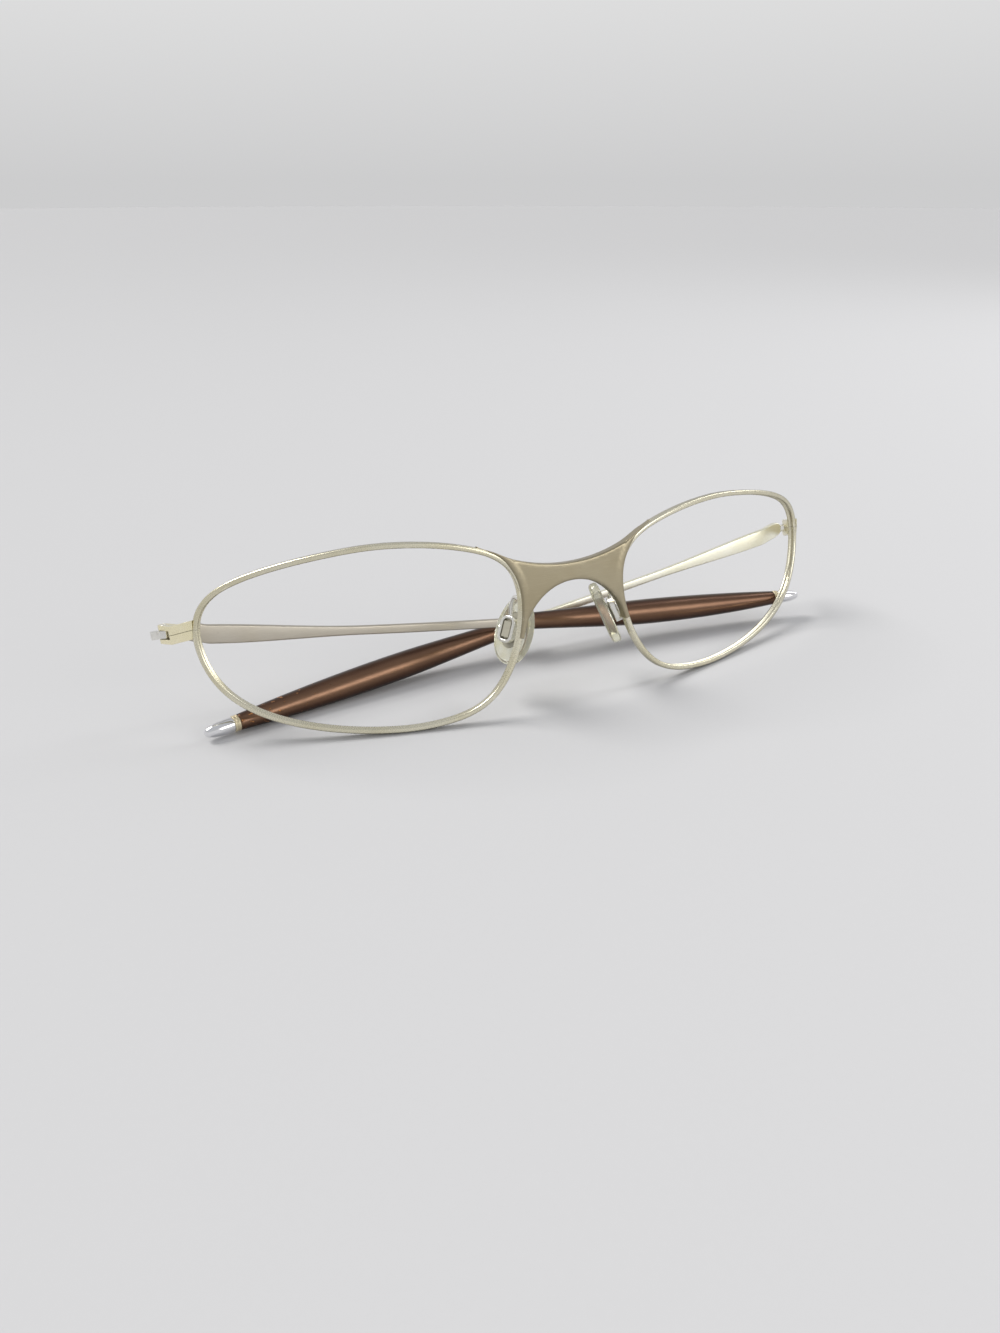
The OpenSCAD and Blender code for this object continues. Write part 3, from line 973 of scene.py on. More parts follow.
@dataclass
class Rim:
    """One rim wire with its lens groove.

    The groove is a V with a narrow floor. Mouth and slope are the heights at which it opens and at
    which its chamfer ends, as shares of the wire's depth.
    """

    side: Side
    curve: RimCurve = RimCurve()
    groove: float = 0.37
    floor: float = 0.05
    mouth: float = 0.5
    slope: float = 0.44
    chamfer: float = 0.04
    rounding: float = 0.40
    stations: int = 330

    def section(self) -> Array:
        """The wire's outline as outward and forward distances, clockwise.

        Returns:
            Rows of the two distances.
        """
        w, d, r = self.curve.width / 2, self.curve.depth / 2, self.rounding
        rows = []
        for so, sf, start in ((1, 1, 90), (1, -1, 0), (-1, -1, -90)):
            rows += self._corner(so * (w - r), sf * (d - r), r, start)
        half = [(-w, d * self.mouth), (self.chamfer - w, d * self.slope), (self.groove - w, self.floor)]
        rows += [(o, -f) for o, f in half] + half[::-1]
        rows += self._corner(r - w, d - r, r, 180)
        return np.array(rows)

    @staticmethod
    def _corner(o: float, f: float, r: float, start: float) -> list[tuple[float, float]]:
        """A quarter turn of corner, clockwise.

        Args:
            o: the corner's centre, outward.
            f: the corner's centre, forward.
            r: its radius.
            start: the angle that it starts at, in degrees.
        Returns:
            Pairs of outward and forward distances.
        """
        turns = [math.radians(start - 15 * i) for i in range(7)]
        return [(o + r * math.cos(q), f + r * math.sin(q)) for q in turns]

    def build(self, shop: Workshop) -> None:
        """Sweeps the section round the curve and adds the piece.

        Args:
            shop: the frame, the space and the materials.
        """
        curve = self.curve
        speed = np.linalg.norm(curve.flat_point(curve.split, 1))
        half = curve.split_gap / 2 / speed
        t = np.linspace(curve.split + half, curve.split - half + curve.spans, self.stations)
        centre, out, front = curve.frame(t)
        s = self.section()
        rings = centre[:, None] + s[None, :, 0, None] * out[:, None] + s[None, :, 1, None] * front[:, None]
        rings[..., 0] *= self.side.value
        draft = MeshDraft()
        draft.skin(rings)
        name = f"rim_{self.side.label}"
        shop.add(draft.object(f"wire_{name}", shop.space), RIM_METAL, "front", name)


@dataclass
class Bridge:
    """The plate between the rims, with softened edges and a lip over the wires' fronts.

    The top edge is an arc of top_radius whose lowest point is at top_height. The nose arch is an
    ellipse about arch_height. The upper limbs run along the wires for limb_length and sink into them,
    and the lower ones end at leg_end, in spans of the rim's curve.
    """

    curve: RimCurve = RimCurve()
    top_radius: float = 33.0
    top_height: float = 9.2
    arch: tuple[float, float] = (11.2, 11.8)
    arch_height: float = -6.0
    top_spans: tuple[float, float] = (4.9, 3.6)
    leg_end: float = 5.98
    turn_spans: float = 0.45
    on_wire: float = 0.03
    beside: float = 0.2
    over_wire: float = 0.26
    under_wire: float = 0.15
    blend: float = 0.35
    limb_length: float = 3.4
    limb_sink: float = 0.24
    limb_tuck: float = 0.25
    fade_from: float = 12.5
    lap: float = 0.42
    sunk_lap: float = 0.28
    rear_sink: float = 0.3
    bead: float = 0.12
    bead_width: float = 0.95
    bead_slope: float = 0.5
    edge: float = 0.36
    back_edge: float = 0.25
    edge_share: float = 0.3
    edge_steps: int = 5
    face_step: float = 0.4
    back_step: float = 0.7
    tip: float = field(init=False)
    wire_side: Array = field(init=False, repr=False)

    def half_outline(self) -> tuple[Array, Array]:
        """The right-hand half of the plate's outline, from the top middle round to the arch.

        It also keeps where the upper limb ends and the run of the outline beside the wire.

        Returns:
            The front layer's outline and the back layer's, point for point, as x and z.
        """
        centre = self.top_height + self.top_radius
        w = self.curve.width / 2
        t = np.linspace(*self.top_spans, 600)
        outer = self.curve.point(t, w - self.on_wire, 0)
        hollow = centre - np.sqrt(self.top_radius**2 - outer[:, 0] ** 2)
        meet = int(np.argmax(outer[:, 2] > hollow))
        self.tip = outer[meet, 0] + self.limb_length
        x = np.linspace(0, self.tip, 80)
        wire = np.interp(x, outer[:, 0], outer[:, 2])
        over = centre - np.sqrt(self.top_radius**2 - x * x) - wire
        eased = (over + np.sqrt(over * over + self.blend**2)) / 2
        sink = self.limb_sink * smooth((x - outer[meet, 0]) / self.limb_length)
        height = wire + np.where(x < outer[0, 0], over, eased) - sink
        top = np.stack([x, height], axis=1)
        first = float(np.interp(self.tip, outer[:, 0], t))
        way = np.linspace(first, self.leg_end, 130)[1:]
        ease = smooth((way - t[meet]) / self.turn_spans)
        reach = (self.curve.point(way, w, 0)[:, 0] - outer[meet, 0]) / self.limb_length
        beside = w - self.beside - self.limb_tuck * smooth(reach)
        front = self.curve.point(way, beside * (1 - ease) - self.over_wire * ease, 0)[:, [0, 2]]
        back = self.curve.point(way, beside + self.under_wire * ease, 0)[:, [0, 2]]
        a, b = self.arch
        start = math.asin((back[-1, 1] - self.arch_height) / b)
        q = np.linspace(start, math.pi / 2, 60)
        arch = np.stack([a * np.cos(q), self.arch_height + b * np.sin(q)], axis=1)
        self.wire_side = front
        return np.vstack([top, front, arch]), np.vstack([top, back, arch])

    @staticmethod
    def mirrored(half: Array) -> Array:
        """Closes a half outline with its mirror image."""
        return np.vstack([half, (half * [-1, 1])[::-1][1:-1]])

    @staticmethod
    def inward(outline: Array) -> tuple[Array, Array]:
        """Looks inward from a clockwise outline.

        Args:
            outline: rows of x and z.
        Returns:
            The inward direction at each point, and how far off the outline's other side is there.
        """
        ahead, behind = np.roll(outline, -1, axis=0), np.roll(outline, 1, axis=0)
        way = unit(unit(ahead - outline) + unit(outline - behind))
        normal = np.stack([way[:, 1], -way[:, 0]], axis=1)
        gap = np.linalg.norm(outline[:, None] - outline[None], axis=2)
        index = np.arange(len(outline))
        apart = np.abs(index[:, None] - index[None])
        apart = np.minimum(apart, len(outline) - apart)
        facing = np.einsum("ijk,ik->ij", outline[None] - outline[:, None], normal) > 0.35 * gap
        gap = np.where((apart > 3) & facing, gap, 99.0)
        return normal, gap.min(axis=1)

    def layer(self, outline: Array, front: Array | float) -> Array:
        """Puts outline points at a distance in front of the wrap's middle surface.

        Args:
            outline: rows of x and z.
            front: the distance, or one for each point.
        Returns:
            Rows of x, y and z.
        """
        x = outline[:, 0]
        return np.stack([x, self.curve.wrap.back(x) - front, outline[:, 1]], axis=1)

    def proud(self, flat: Array) -> Array:
        """How far forward the plate's face stands at points in x and z.

        It sinks into the wire at the ends of its upper limbs, and is a little higher along the wires.

        Args:
            flat: rows of x and z.
        Returns:
            The distance in front of the wrap's middle surface at each.
        """
        x = np.abs(flat[:, 0])
        fade = 1 - self.along_limb(x)
        side = self.wire_side
        away = np.hypot(x[:, None] - side[None, :, 0], flat[:, None, 1] - side[None, :, 1]).min(axis=1)
        sunk = self.bead * smooth((away - self.bead_width) / self.bead_slope)
        return self.curve.depth / 2 - self.sunk_lap + (self.lap + self.sunk_lap - sunk) * fade

    def along_limb(self, x: Array) -> Array:
        """How far along an upper limb a place across the front is, eased from 0 to 1."""
        return smooth((np.abs(x) - self.fade_from) / (self.tip - self.fade_from))

    def build(self, shop: Workshop) -> None:
        """Makes the plate from rings of its outline and two filled faces.

        Args:
            shop: the frame, the space and the materials.
        """
        front, back = (self.mirrored(h) for h in self.half_outline())
        steps = np.linspace(math.pi / 2, 0, self.edge_steps + 1)
        edge = self.edges(front, self.edge)
        normal = self.inward(front)[0]
        rings = []
        for q in steps:
            inset = front + normal * (edge * (1 - math.cos(q)))[:, None]
            rings.append(self.layer(inset, self.proud(inset) - edge * (1 - math.sin(q))))
        waist = np.minimum(self.curve.depth / 2 + 0.01, self.proud(front) - edge - 0.03)
        rings += [self.layer(front, waist), self.layer(back, waist)]
        edge = self.edges(back, self.back_edge)
        normal = self.inward(back)[0]
        rear = self.rear_sink * self.along_limb(back[:, 0]) - self.curve.depth / 2
        for q in steps[::-1]:
            inset = back + normal * (edge * (1 - math.cos(q)))[:, None]
            rings.append(self.layer(inset, rear + edge * (1 - math.sin(q))))
        draft = MeshDraft()
        draft.skin(np.array(rings), caps=False)
        self.fill(draft, rings[0], self.proud)
        self.fill(draft, rings[-1], None)
        shop.add(draft.object("bridge_plate", shop.space, 50.0), FRAME_METAL, "front", "bridge")

    def edges(self, outline: Array, most: float) -> Array:
        """The edge rounding along an outline, less where the plate is narrow.

        Args:
            outline: rows of x and z.
            most: the rounding where there is room.
        Returns:
            The radius at each point.
        """
        edge = np.minimum(most, self.edge_share * self.inward(outline)[1])
        return np.convolve(np.concatenate([edge[-2:], edge, edge[:2]]), np.ones(5) / 5, "valid")

    def fill(self, draft: MeshDraft, ring: Array, level: Optional[Placing]) -> None:
        """Fills one face with a net of triangles that follows the wrap.

        Args:
            draft: the mesh so far.
            ring: the face's edge.
            level: how far forward the face stands at each point, or None to carry the edge's level in.
        """
        flat = ring[:, [0, 2]]
        held = self.curve.wrap.back(flat[:, 0]) - ring[:, 1]
        lo, hi = flat.min(axis=0), flat.max(axis=0)
        step = self.back_step if level is None else self.face_step
        across, up = np.meshgrid(np.arange(lo[0], hi[0], step), np.arange(lo[1], hi[1], step))
        net = np.stack([across, up], axis=-1).reshape(-1, 2)
        gap = np.hypot(net[:, None, 0] - flat[None, :, 0], net[:, None, 1] - flat[None, :, 1]).min(axis=1)
        net = net[gap > step / 2]
        points = [Vector(p) for p in np.vstack([flat, net])]
        edges = [(i, (i + 1) % len(flat)) for i in range(len(flat))]
        verts, _, faces, _, _, _ = delaunay_2d_cdt(points, edges, [], 1, 1e-6)
        xz = np.array([tuple(v) for v in verts])
        gap = np.hypot(xz[:, None, 0] - flat[None, :, 0], xz[:, None, 1] - flat[None, :, 1])
        depth = held[np.argmin(gap, axis=1)]
        if level is not None:
            inside = gap.min(axis=1) > 1e-4
            depth[inside] = level(xz[inside])
        start = draft.add(self.layer(xz, depth))
        for face in faces:
            draft.faces.append(tuple(start + i for i in face))


@dataclass
class Endpiece:
    """The closing block halves and their two screws, from the CAD's exact solids."""

    side: Side

    def build(self, shop: Workshop) -> None:
        """Adds the four pieces of one endpiece.

        Args:
            shop: the frame, the space and the materials.
        """
        for half in ("upper", "lower"):
            shop.from_cad(f"block_{half}_{self.side.label}", "front", BLOCK_METAL, 0.13)
        for screw in ("closing", "hinge"):
            shop.from_cad(f"{screw}_screw_{self.side.label}", "front", NICKEL, 0.05)


@dataclass
class Temple:
    """A folded temple: hinge tongue, tapered strip, ear sleeve, end ring and bullet tip."""

    side: Side
    neck: float = 2.6
    shoulder: float = 4.8
    thickness: float = 1.1
    tongue_height: float = 1.45
    wide: float = 3.6
    slim: float = 1.8
    level_to: float = 7.0
    taper_from: float = 8.0
    taper_length: float = 28.0
    strip_to: float = 125.5
    sleeve_from: float = 67.0
    sleeve_length: float = 62.9
    sleeve_start: float = 1.7
    sleeve_middle: float = 2.7
    sleeve_end: float = 1.5
    sleeve_swell: float = 0.52
    lip: float = 0.32
    bore: float = 1.1
    ring_radius: float = 1.5
    ring_bore: float = 0.83
    ring_length: float = 1.1
    tip_radius: float = 1.42
    tip_nose: float = 0.35
    tip_straight: float = 0.6
    tip_length: float = 5.3
    spigot: float = 0.8
    spigot_length: float = 2.7

    @property
    def body(self) -> str:
        """The CAD body that the temple's pieces ride on."""
        return f"temple_{self.side.label}"

    @property
    def curve(self) -> TempleCurve:
        """This side's centre line."""
        return TEMPLES[self.side]

    @property
    def sleeve_to(self) -> float:
        """Where the sleeve ends."""
        return self.sleeve_from + self.sleeve_length

    def build(self, shop: Workshop) -> None:
        """Adds the temple's five pieces.

        Args:
            shop: the frame, the space and the materials.
        """
        shop.from_cad(f"hinge_tongue_{self.side.label}", self.body, NICKEL, 0.12)
        self.strip(shop)
        self.sleeve(shop)
        self.ring(shop)
        self.tip(shop)

    def add(
        self, shop: Workshop, draft: MeshDraft, name: str, finish: Finish, crease: float = 40.0
    ) -> None:
        """Adds a draft as the piece that stands for one of this side's nodes.

        Args:
            shop: what the pieces need.
            draft: the mesh.
            name: the node's name without its side.
            finish: the piece's finish.
            crease: the angle in degrees over which an edge stays sharp.
        """
        node = f"{name}_{self.side.label}"
        shop.add(draft.object("fine_" + node, shop.space, crease), finish, self.body, node)

    def height(self, u: Array) -> Array:
        """The strip's height along the temple.

        Args:
            u: places along the temple.
        Returns:
            The height at each.
        """
        q = np.clip((self.shoulder - u) / (self.shoulder - self.neck), 0, 1)
        rise = self.tongue_height + (self.wide - self.tongue_height) * np.sqrt(1 - q * q)
        taper = self.slim + (self.wide - self.slim) * (
            1 - smooth((u - self.taper_from) / self.taper_length)
        )
        return np.where(u < self.shoulder, rise, taper)

    def strip(self, shop: Workshop) -> None:
        """The flat metal strip, with softened edges.

        Args:
            shop: the frame, the space and the materials.
        """
        turns = np.radians(np.arange(0, 90, 7.5))
        first = self.neck + (self.shoulder - self.neck) * (1 - np.cos(turns))
        u = np.concatenate([first, np.linspace(self.shoulder, self.strip_to, 190)])
        at = self.curve.at(u)
        near = u < self.level_to
        left = (self.level_to - u[near]) / (self.level_to - self.neck)
        at[near, 2] -= self.curve.drop[0] * u[near] * left
        rings = []
        for p, h in zip(at, self.height(u)):
            s = rounded_rectangle(self.thickness, h, min(0.34, h * 0.24), 6)
            rings.append(np.stack([np.full(len(s), p[0]), p[1] + s[:, 0], p[2] + s[:, 1]], axis=1))
        draft = MeshDraft()
        draft.skin(self.curve.front(np.array(rings)))
        # The left strip takes the lit copy of the strip metal, a painted reflection
        self.add(shop, draft, "temple_arm", LIT_COPY_STRIP_METAL if self.side is Side.LEFT else STRIP_METAL)

    def radius(self, u: Array) -> Array:
        """The sleeve's radius: it swells, then narrows to the end ring.

        Args:
            u: places along the temple.
        Returns:
            The radius at each.
        """
        a = (u - self.sleeve_from) / self.sleeve_length
        start, middle, end = self.sleeve_start, self.sleeve_middle, self.sleeve_end
        swell = start + (middle - start) * smooth(a / self.sleeve_swell)
        past = np.clip((a - self.sleeve_swell) / (1 - self.sleeve_swell), 0, 1)
        narrow = end + (middle - end) * (1 - past**2)
        return np.where(a < self.sleeve_swell, swell, narrow)

    def tube(self, u: Array, r: Array, sides: int) -> Array:
        """Rings round the centre line.

        Args:
            u: where each ring is.
            r: each ring's radius.
            sides: points in each ring.
        Returns:
            The array of rings.
        """
        _, side, up = self.curve.axes(u)
        q = np.linspace(0, 2 * math.pi, sides, endpoint=False)
        around = np.cos(q)[None, :, None] * side[:, None] + np.sin(q)[None, :, None] * up[:, None]
        return self.curve.front(self.curve.at(u)[:, None] + r[:, None, None] * around)

    def sleeve(self, shop: Workshop) -> None:
        """The ear sleeve, with a rounded lip and a bore round the strip.

        Args:
            shop: the frame, the space and the materials.
        """
        lip, bore = self.lip, self.bore
        turn = np.radians(np.arange(0, 91, 15))
        start, end = self.sleeve_from, self.sleeve_to
        u_out = np.linspace(start + lip, end - 0.12, 190)
        u = np.concatenate([start + lip - lip * np.cos(turn[:-1]), u_out, [end - 0.04, end]])
        r = self.radius(u)
        r[: len(turn) - 1] -= lip * (1 - np.sin(turn[:-1]))
        r[-2:] -= (0.04, 0.12)
        bore_u = np.array([end, end - 6, end - 30, start + 8, start + 0.5, start + 0.05, start])
        bore_r = np.array([bore + 0.02, bore, bore, bore, bore, bore + 0.05, bore + 0.12])
        draft = MeshDraft()
        rings = self.tube(np.concatenate([u, bore_u]), np.concatenate([r, bore_r]), 52)
        draft.skin(rings, closed=True)
        self.add(shop, draft, "sleeve", LACQUER)

    def along(self, u: float) -> Placing:
        """A placing for lathe work whose height runs along the temple.

        Args:
            u: where the height starts.
        Returns:
            A function from local points to the front's space.
        """
        way, side, up = (a[0] for a in self.curve.axes(u))
        start = self.curve.at(u)[0]
        turn = np.stack([side, up, way])
        return lambda p: self.curve.front(start + p @ turn)

    def ring(self, shop: Workshop) -> None:
        """The pale end ring, with a shallow groove round its middle.

        Args:
            shop: the frame, the space and the materials.
        """
        r, bore, length = self.ring_radius, self.ring_bore, self.ring_length
        profile = [
            (bore, 0.0), (r - 0.12, 0.0), (r - 0.03, 0.03), (r, 0.12), (r, 0.42), (r - 0.07, 0.48),
            (r - 0.07, 0.60), (r, 0.66), (r, 0.94), (r - 0.04, 1.04), (r - 0.13, length), (bore, length),
        ]
        draft = MeshDraft()
        draft.lathe(profile, self.along(self.sleeve_to), 56, hollow=True)
        self.add(shop, draft, "end_ring", CREAM_RING, 60.0)

    def tip(self, shop: Workshop) -> None:
        """The bullet tip on its spigot.

        Args:
            shop: the frame, the space and the materials.
        """
        r, nose, straight, length = self.tip_radius, self.tip_nose, self.tip_straight, self.tip_length
        ring, spigot, deep = self.ring_length, self.spigot, self.spigot_length
        arc = length - straight
        profile = [(0, -deep), (spigot - 0.1, -deep), (spigot, 0.1 - deep), (spigot, ring)]
        profile += [(r - 0.1, ring), (r - 0.02, ring + 0.05), (r, ring + 0.14), (r, ring + straight)]
        for q in np.radians(np.arange(5, 90, 5)):
            profile.append((nose + (r - nose) * math.cos(q), ring + straight + arc * math.sin(q)))
        profile += [(nose, ring + length - 0.02), (nose * 0.7, ring + length - 0.003), (0, ring + length)]
        draft = MeshDraft()
        draft.lathe(profile, self.along(self.sleeve_to), 56)
        self.add(shop, draft, "tip", CHROME, 50.0)


@dataclass
class NosePad:
    """A nose pad with its core plate, and the wire arm, box and screw that hold it.

    The left pad stands at centre, turned about X, Y and Z in degrees. The right one mirrors it.
    """

    side: Side
    centre: tuple[float, float, float] = (9.98, 5.17, -3.16)
    turn: tuple[float, float, float] = (7, -20.5, -25)
    length: float = 13.2
    width: float = 8.4
    thickness: float = 2.05
    pocket: tuple[float, float] = (3.64, 7.04)
    pocket_depth: float = 0.5
    stem: tuple[float, float] = (1.7, 3.0)
    stem_room: tuple[float, float] = (0.5, 0.9)
    box_wall: float = 0.6
    box_depth: float = 1.4
    box_corner: float = 1.05
    box_gap: float = 0.35
    wire_radius: float = 0.45
    wire_bend: float = 0.8
    wire_from: float = 5.45
    outline_points: int = 72
    curve: RimCurve = RimCurve()

    # The dome's rings: a share of the thickness, and a share of the outline's size
    RINGS = (
        (-0.56, 0.36), (-0.555, 0.60), (-0.54, 0.80), (-0.50, 0.89), (-0.44, 0.945), (-0.34, 0.98),
        (-0.20, 1.0), (0.0, 1.0), (0.18, 0.995), (0.29, 0.975), (0.37, 0.945), (0.42, 0.90), (0.44, 0.85),
    )

    @property
    def back(self) -> float:
        """The pad's back face, away from the nose."""
        return 0.44 * self.thickness

    @property
    def box_middle(self) -> float:
        """The middle of the box along the pad's outward axis."""
        return self.back + self.box_gap + self.box_depth / 2

    def place(self, points: Array) -> Array:
        """Puts pad points in the front's space, on this side.

        Args:
            points: x outward, y across and z up the pad.
        Returns:
            The points in the front's space, in the same shape.
        """
        shape = np.shape(points)
        out = turned(np.reshape(points, (-1, 3)), self.turn) + np.array(self.centre)
        out[:, 0] *= self.side.value
        return out.reshape(shape)

    def build(self, shop: Workshop) -> None:
        """Adds the pad, its plate, its arm and box, and its screw.

        Args:
            shop: the frame, the space and the materials.
        """
        label = self.side.label
        self.pad(shop)
        shop.from_cad(f"pad_core_{label}", f"pad_{label}", CORE_PLATE, 0.12)
        self.arm(shop)
        shop.from_cad(f"pad_screw_{label}", "front", NICKEL, 0.05)

    def outline(self, scale: float) -> Array:
        """The pad's egg outline.

        Args:
            scale: a share of its full size.
        Returns:
            Rows of y and z.
        """
        q = np.linspace(0, 2 * math.pi, self.outline_points, endpoint=False)
        y = self.width / 2 * scale * np.cos(q) * (1 - 0.08 * np.sin(q))
        return np.stack([y, self.length / 2 * scale * np.sin(q)], axis=1)

    def pad(self, shop: Workshop) -> None:
        """The soft pad, domed to the nose, with a pocket for the plate behind.

        Args:
            shop: the frame, the space and the materials.
        """
        n = self.outline_points
        dome = [(x * self.thickness, self.outline(scale)) for x, scale in self.RINGS]
        slot = self.slot_outline(*self.pocket, n)
        hole = [(self.back - depth, slot) for depth in (0.0, 0.06, self.pocket_depth)]
        rings = [np.column_stack([np.full(n, x), yz]) for x, yz in dome + hole]
        draft = MeshDraft()
        draft.skin(self.place(np.array(rings)))
        label = self.side.label
        piece = draft.object(f"fine_nose_pad_{label}", shop.space, 50.0)
        shop.add(piece, CLEAR_PAD, f"pad_{label}", f"nose_pad_{label}")

    @staticmethod
    def slot_outline(width: float, length: float, count: int) -> Array:
        """A round-ended slot, with its points at even angles.

        Args:
            width: its size across.
            length: its size along.
            count: points in it.
        Returns:
            Rows of y and z.
        """
        q = np.linspace(0, 2 * math.pi, count, endpoint=False)
        r, straight = width / 2, (length - width) / 2
        reach = []
        for a in q:
            c, s = math.cos(a), math.sin(a)
            side = r / max(abs(c), 1e-9)
            if abs(side * s) <= straight:
                reach.append(side)
            else:
                b = straight * abs(s)
                reach.append(b + math.sqrt(max(0.0, b * b - straight**2 + r * r)))
        reach = np.array(reach)
        return np.stack([reach * np.cos(q), reach * np.sin(q)], axis=1)

    def arm(self, shop: Workshop) -> None:
        """The bent wire from the rim and the open box at its end.

        Args:
            shop: the frame, the space and the materials.
        """
        label = self.side.label
        root = self.curve.point(self.wire_from, 0.0, -self.curve.depth / 2)[0]
        box_top = (self.stem[1] + self.stem_room[1]) / 2 + self.box_wall - 0.15
        seat = self.place(np.array([self.box_middle, 0, box_top])) * (self.side.value, 1, 1)
        rise = root + (0.1, 1.6, 0.3)
        knots = np.array([root - (0, 0.25, 0), rise, seat + (0.1, -0.7, 2.4), seat])
        points = self.rounded_path(knots, self.wire_bend) * (self.side.value, 1, 1)
        draft = MeshDraft()
        draft.skin(tube_along(points, self.wire_radius, 24))
        piece = draft.object(f"arm_wire_{label}", shop.space)
        shop.add(piece, NICKEL, "front", f"pad_arm_{label}")
        draft = MeshDraft()
        draft.skin(self.place(self.box_rings()), closed=True)
        piece = draft.object(f"arm_box_{label}", shop.space, 60.0)
        shop.add(piece, NICKEL, "front", f"pad_arm_{label}")

    @staticmethod
    def rounded_path(knots: Array, reach: float) -> Array:
        """A path through knots with its corners eased.

        Args:
            knots: rows of points.
            reach: how far from a corner the easing starts.
        Returns:
            Rows of points.
        """
        rows = [knots[0]]
        for a, b, c in zip(knots, knots[1:], knots[2:]):
            d = min(reach, 0.45 * np.linalg.norm(b - a), 0.45 * np.linalg.norm(c - b))
            p, q = b + unit(a - b) * d, b + unit(c - b) * d
            for s in np.linspace(0, 1, 9):
                rows.append((1 - s) ** 2 * p + 2 * s * (1 - s) * b + s * s * q)
        rows.append(knots[-1])
        return np.array(rows)

    def box_rings(self) -> Array:
        """Rings of the box's wall, which runs round the stem as a rounded frame.

        Returns:
            The array of rings.
        """
        width, length = (a + b + self.box_wall for a, b in zip(self.stem, self.stem_room))
        path = rounded_rectangle(width, length, self.box_corner, 12)
        section = rounded_rectangle(self.box_wall, self.box_depth, 0.17, 5)
        way = unit(np.roll(path, -1, axis=0) - np.roll(path, 1, axis=0))
        out = np.stack([way[:, 1], -way[:, 0]], axis=1)
        rings = []
        for p, o in zip(path, out):
            yz = p + section[:, :1] * o
            rings.append(np.column_stack([self.box_middle + section[:, 1], yz]))
        return np.array(rings)


def tube_along(points: Array, radius: float, sides: int) -> Array:
    """Rings of a round wire along a path, without twist.

    Args:
        points: the path.
        radius: the wire's radius.
        sides: points in each ring.
    Returns:
        The array of rings.
    """
    way = unit(np.gradient(points, axis=0))
    across = unit(np.cross(way[0], np.array([0.3, 0.2, 1.0])))
    q = np.linspace(0, 2 * math.pi, sides, endpoint=False)
    rings = []
    for p, w in zip(points, way):
        across = unit(across - w * np.dot(across, w))
        other = np.cross(w, across)
        rings.append(p + radius * (np.cos(q)[:, None] * across + np.sin(q)[:, None] * other))
    return np.array(rings)


# --------------------------------------------------------------------------------------
# Studio
# --------------------------------------------------------------------------------------


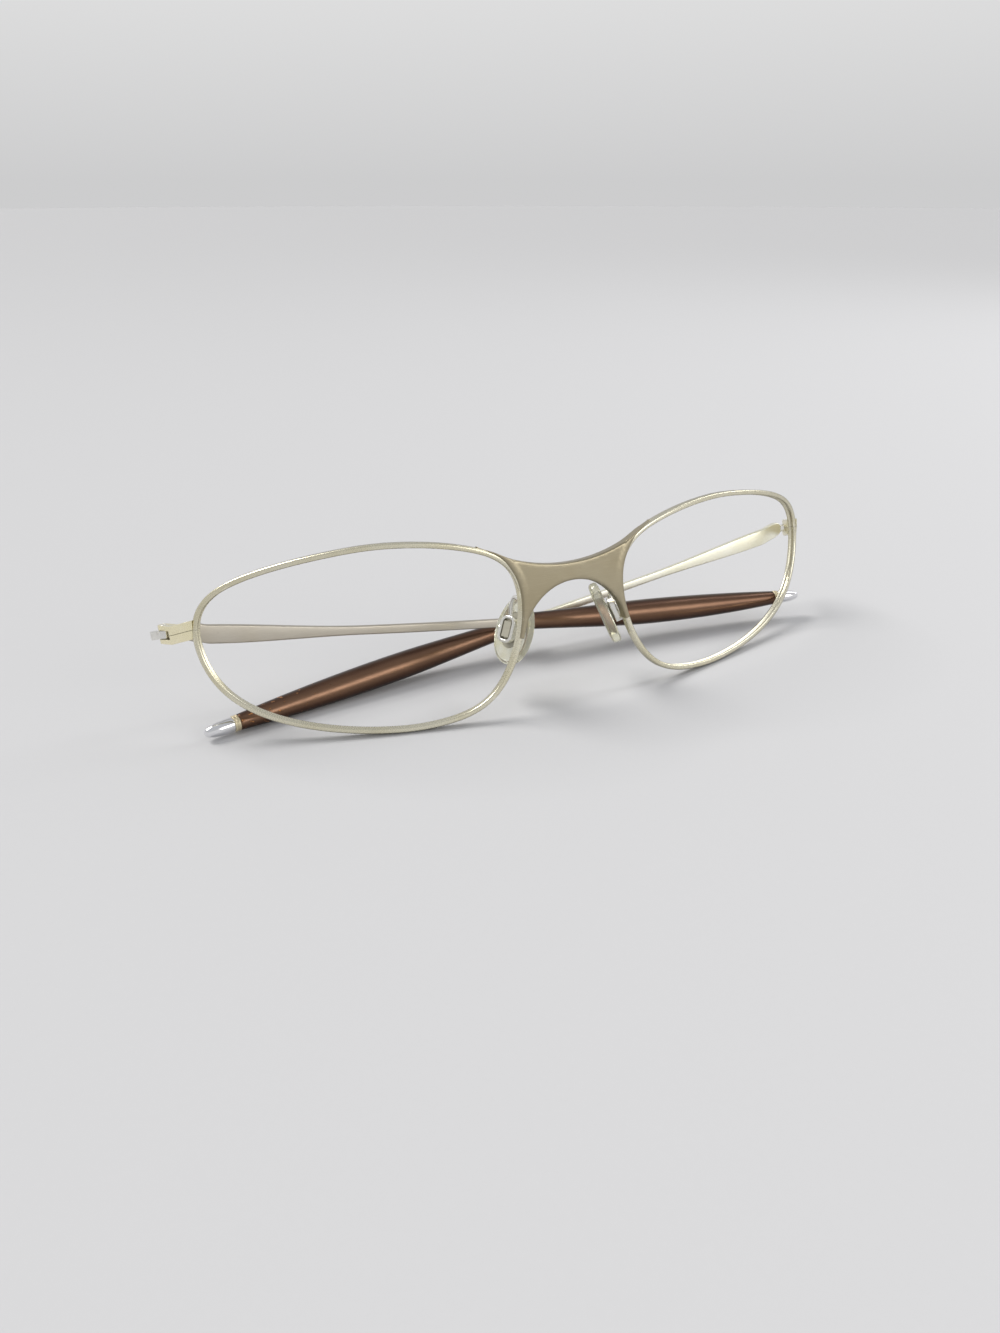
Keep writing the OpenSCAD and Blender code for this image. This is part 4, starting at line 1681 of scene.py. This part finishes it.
@dataclass
class Studio:
    """Floor, world, lamps and camera.

    The sky's stops are a share of the way up and a colour. The view is given in the front's own space:
    its place in millimetres, the way it looks and the way up.
    """

    space: FrontSpace
    floor_tone: Color = (0.56, 0.56, 0.57)
    floor_radius: float = 4.0
    target: Triple = (0.0, 0.0, 0.015)
    key_heading: Triple = (0.42, -0.55, -0.85)
    key_power: float = 2.1
    key_angle: float = 30.0
    view_place: Triple = (-87.36, -161.19, 41.13)
    view_ahead: Triple = (0.39044, 0.88071, -0.26816)
    view_up: Triple = (0.19028, 0.20779, 0.95949)
    lens: float = 35.95

    SKY = (
        (0.0, (0.61, 0.61, 0.615)), (0.20, (0.78, 0.78, 0.78)),
        (0.55, (0.56, 0.56, 0.56)), (0.9, (0.54, 0.55, 0.57)),
    )

    def build(self) -> None:
        """Adds the whole studio."""
        self.floor()
        self.world()
        self.lamps()
        self.camera()

    def floor(self) -> None:
        """A wide, plain, faintly grained disc."""
        mesh = bpy.data.meshes.new("studio_floor")
        q = np.linspace(0, 2 * math.pi, 96, endpoint=False)
        r = self.floor_radius
        mesh.from_pydata([(r * math.cos(a), r * math.sin(a), 0.0) for a in q], [], [tuple(range(len(q)))])
        disc = bpy.data.objects.new("studio_floor", mesh)
        bpy.context.scene.collection.objects.link(disc)
        material = bpy.data.materials.new("pale_floor")
        kit = Nodes(material)
        fine = kit.noise((900.0,) * 3, 3.0)
        tone = tuple(c * 0.985 for c in self.floor_tone)
        colour = kit.mix(fine, tone, self.floor_tone)
        normal = kit.bump(fine, 1.2e-5, 0.4)
        kit.shader(Base_Color=colour, Roughness=0.8, Specular_IOR_Level=0.2, Normal=normal)
        mesh.materials.append(material)

    def world(self) -> None:
        """A plain pale surround, a little brighter overhead."""
        world = bpy.data.worlds.new("studio_world")
        bpy.context.scene.world = world
        world.use_nodes = True
        tree = world.node_tree
        tree.nodes.clear()
        coords = tree.nodes.new("ShaderNodeTexCoord")
        split = tree.nodes.new("ShaderNodeSeparateXYZ")
        ramp = tree.nodes.new("ShaderNodeValToRGB")
        back = tree.nodes.new("ShaderNodeBackground")
        out = tree.nodes.new("ShaderNodeOutputWorld")
        tree.links.new(coords.outputs["Generated"], split.inputs[0])
        tree.links.new(split.outputs[2], ramp.inputs[0])
        tree.links.new(ramp.outputs[0], back.inputs[0])
        tree.links.new(back.outputs[0], out.inputs[0])
        stops = ramp.color_ramp.elements
        stops[0].position, stops[1].position = self.SKY[0][0], self.SKY[-1][0]
        for position, _ in self.SKY[1:-1]:
            stops.new(position)
        for stop, (_, tone) in zip(stops, self.SKY):
            stop.color = (*tone, 1.0)

    def lamp(self, name: str, place: Triple, size: tuple[float, float], power: float, tint: Color) -> None:
        """A soft rectangular lamp that faces the spectacles.

        Args:
            name: the lamp's name.
            place: where it hangs, in metres.
            size: its two sides in metres.
            power: its power in watts.
            tint: its colour.
        """
        data = bpy.data.lights.new(name, "AREA")
        data.shape = "RECTANGLE"
        data.size, data.size_y = size
        data.energy = power
        data.color = tint
        lamp = bpy.data.objects.new(name, data)
        lamp.location = place
        heading = Vector(self.target) - Vector(place)
        lamp.rotation_euler = heading.to_track_quat("-Z", "Y").to_euler()
        bpy.context.scene.collection.objects.link(lamp)

    def lamps(self) -> None:
        """A broad soft key from behind and the left, a window-like strip and a low fill."""
        data = bpy.data.lights.new("key", "SUN")
        data.angle = math.radians(self.key_angle)
        data.energy = self.key_power
        data.color = (1.0, 0.985, 0.955)
        key = bpy.data.objects.new("key", data)
        key.rotation_euler = Vector(self.key_heading).to_track_quat("-Z", "Y").to_euler()
        bpy.context.scene.collection.objects.link(key)
        self.lamp("side_strip", (0.75, 0.05, 0.55), (0.18, 0.7), 1.6, (0.97, 0.98, 1.0))
        self.lamp("fill", (0.55, -0.95, 0.45), (0.7, 0.5), 3.0, (1.0, 0.99, 0.97))

    def camera(self) -> None:
        """The camera, close to the left and a little above."""
        data = bpy.data.cameras.new("camera")
        data.sensor_fit = "HORIZONTAL"
        data.sensor_width = 36.0
        data.lens = self.lens
        data.clip_start = 0.01
        data.clip_end = 20.0
        camera = bpy.data.objects.new("camera", data)
        place = self.space.row(np.array(self.view_place))
        ahead = self.space.direction(self.view_ahead)
        above = self.space.direction(self.view_up)
        right = ahead.cross(above).normalized()
        above = right.cross(ahead).normalized()
        turn = Matrix((right, above, -ahead.normalized())).transposed().to_4x4()
        camera.matrix_world = Matrix.Translation(Vector(place)) @ turn
        bpy.context.scene.collection.objects.link(camera)
        bpy.context.scene.camera = camera


@dataclass
class Spectacles:
    """The whole object, as sub-assemblies."""

    shop: Workshop

    def build(self) -> None:
        """Adds every piece."""
        Bridge().build(self.shop)
        for side in Side:
            Rim(side).build(self.shop)
            Endpiece(side).build(self.shop)
            NosePad(side).build(self.shop)
            Temple(side).build(self.shop)


def main() -> None:
    """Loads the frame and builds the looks."""
    logging.basicConfig(level=logging.INFO, format="%(name)s: %(message)s")
    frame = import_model()
    joints = frame["record"]["behaviour"]["joints"]
    space = FrontSpace.from_joints(joints)
    Spectacles(Workshop(frame, space)).build()
    Studio(space).build()
    bpy.context.scene.view_settings.view_transform = "Standard"


if __name__ == "__main__":
    main()
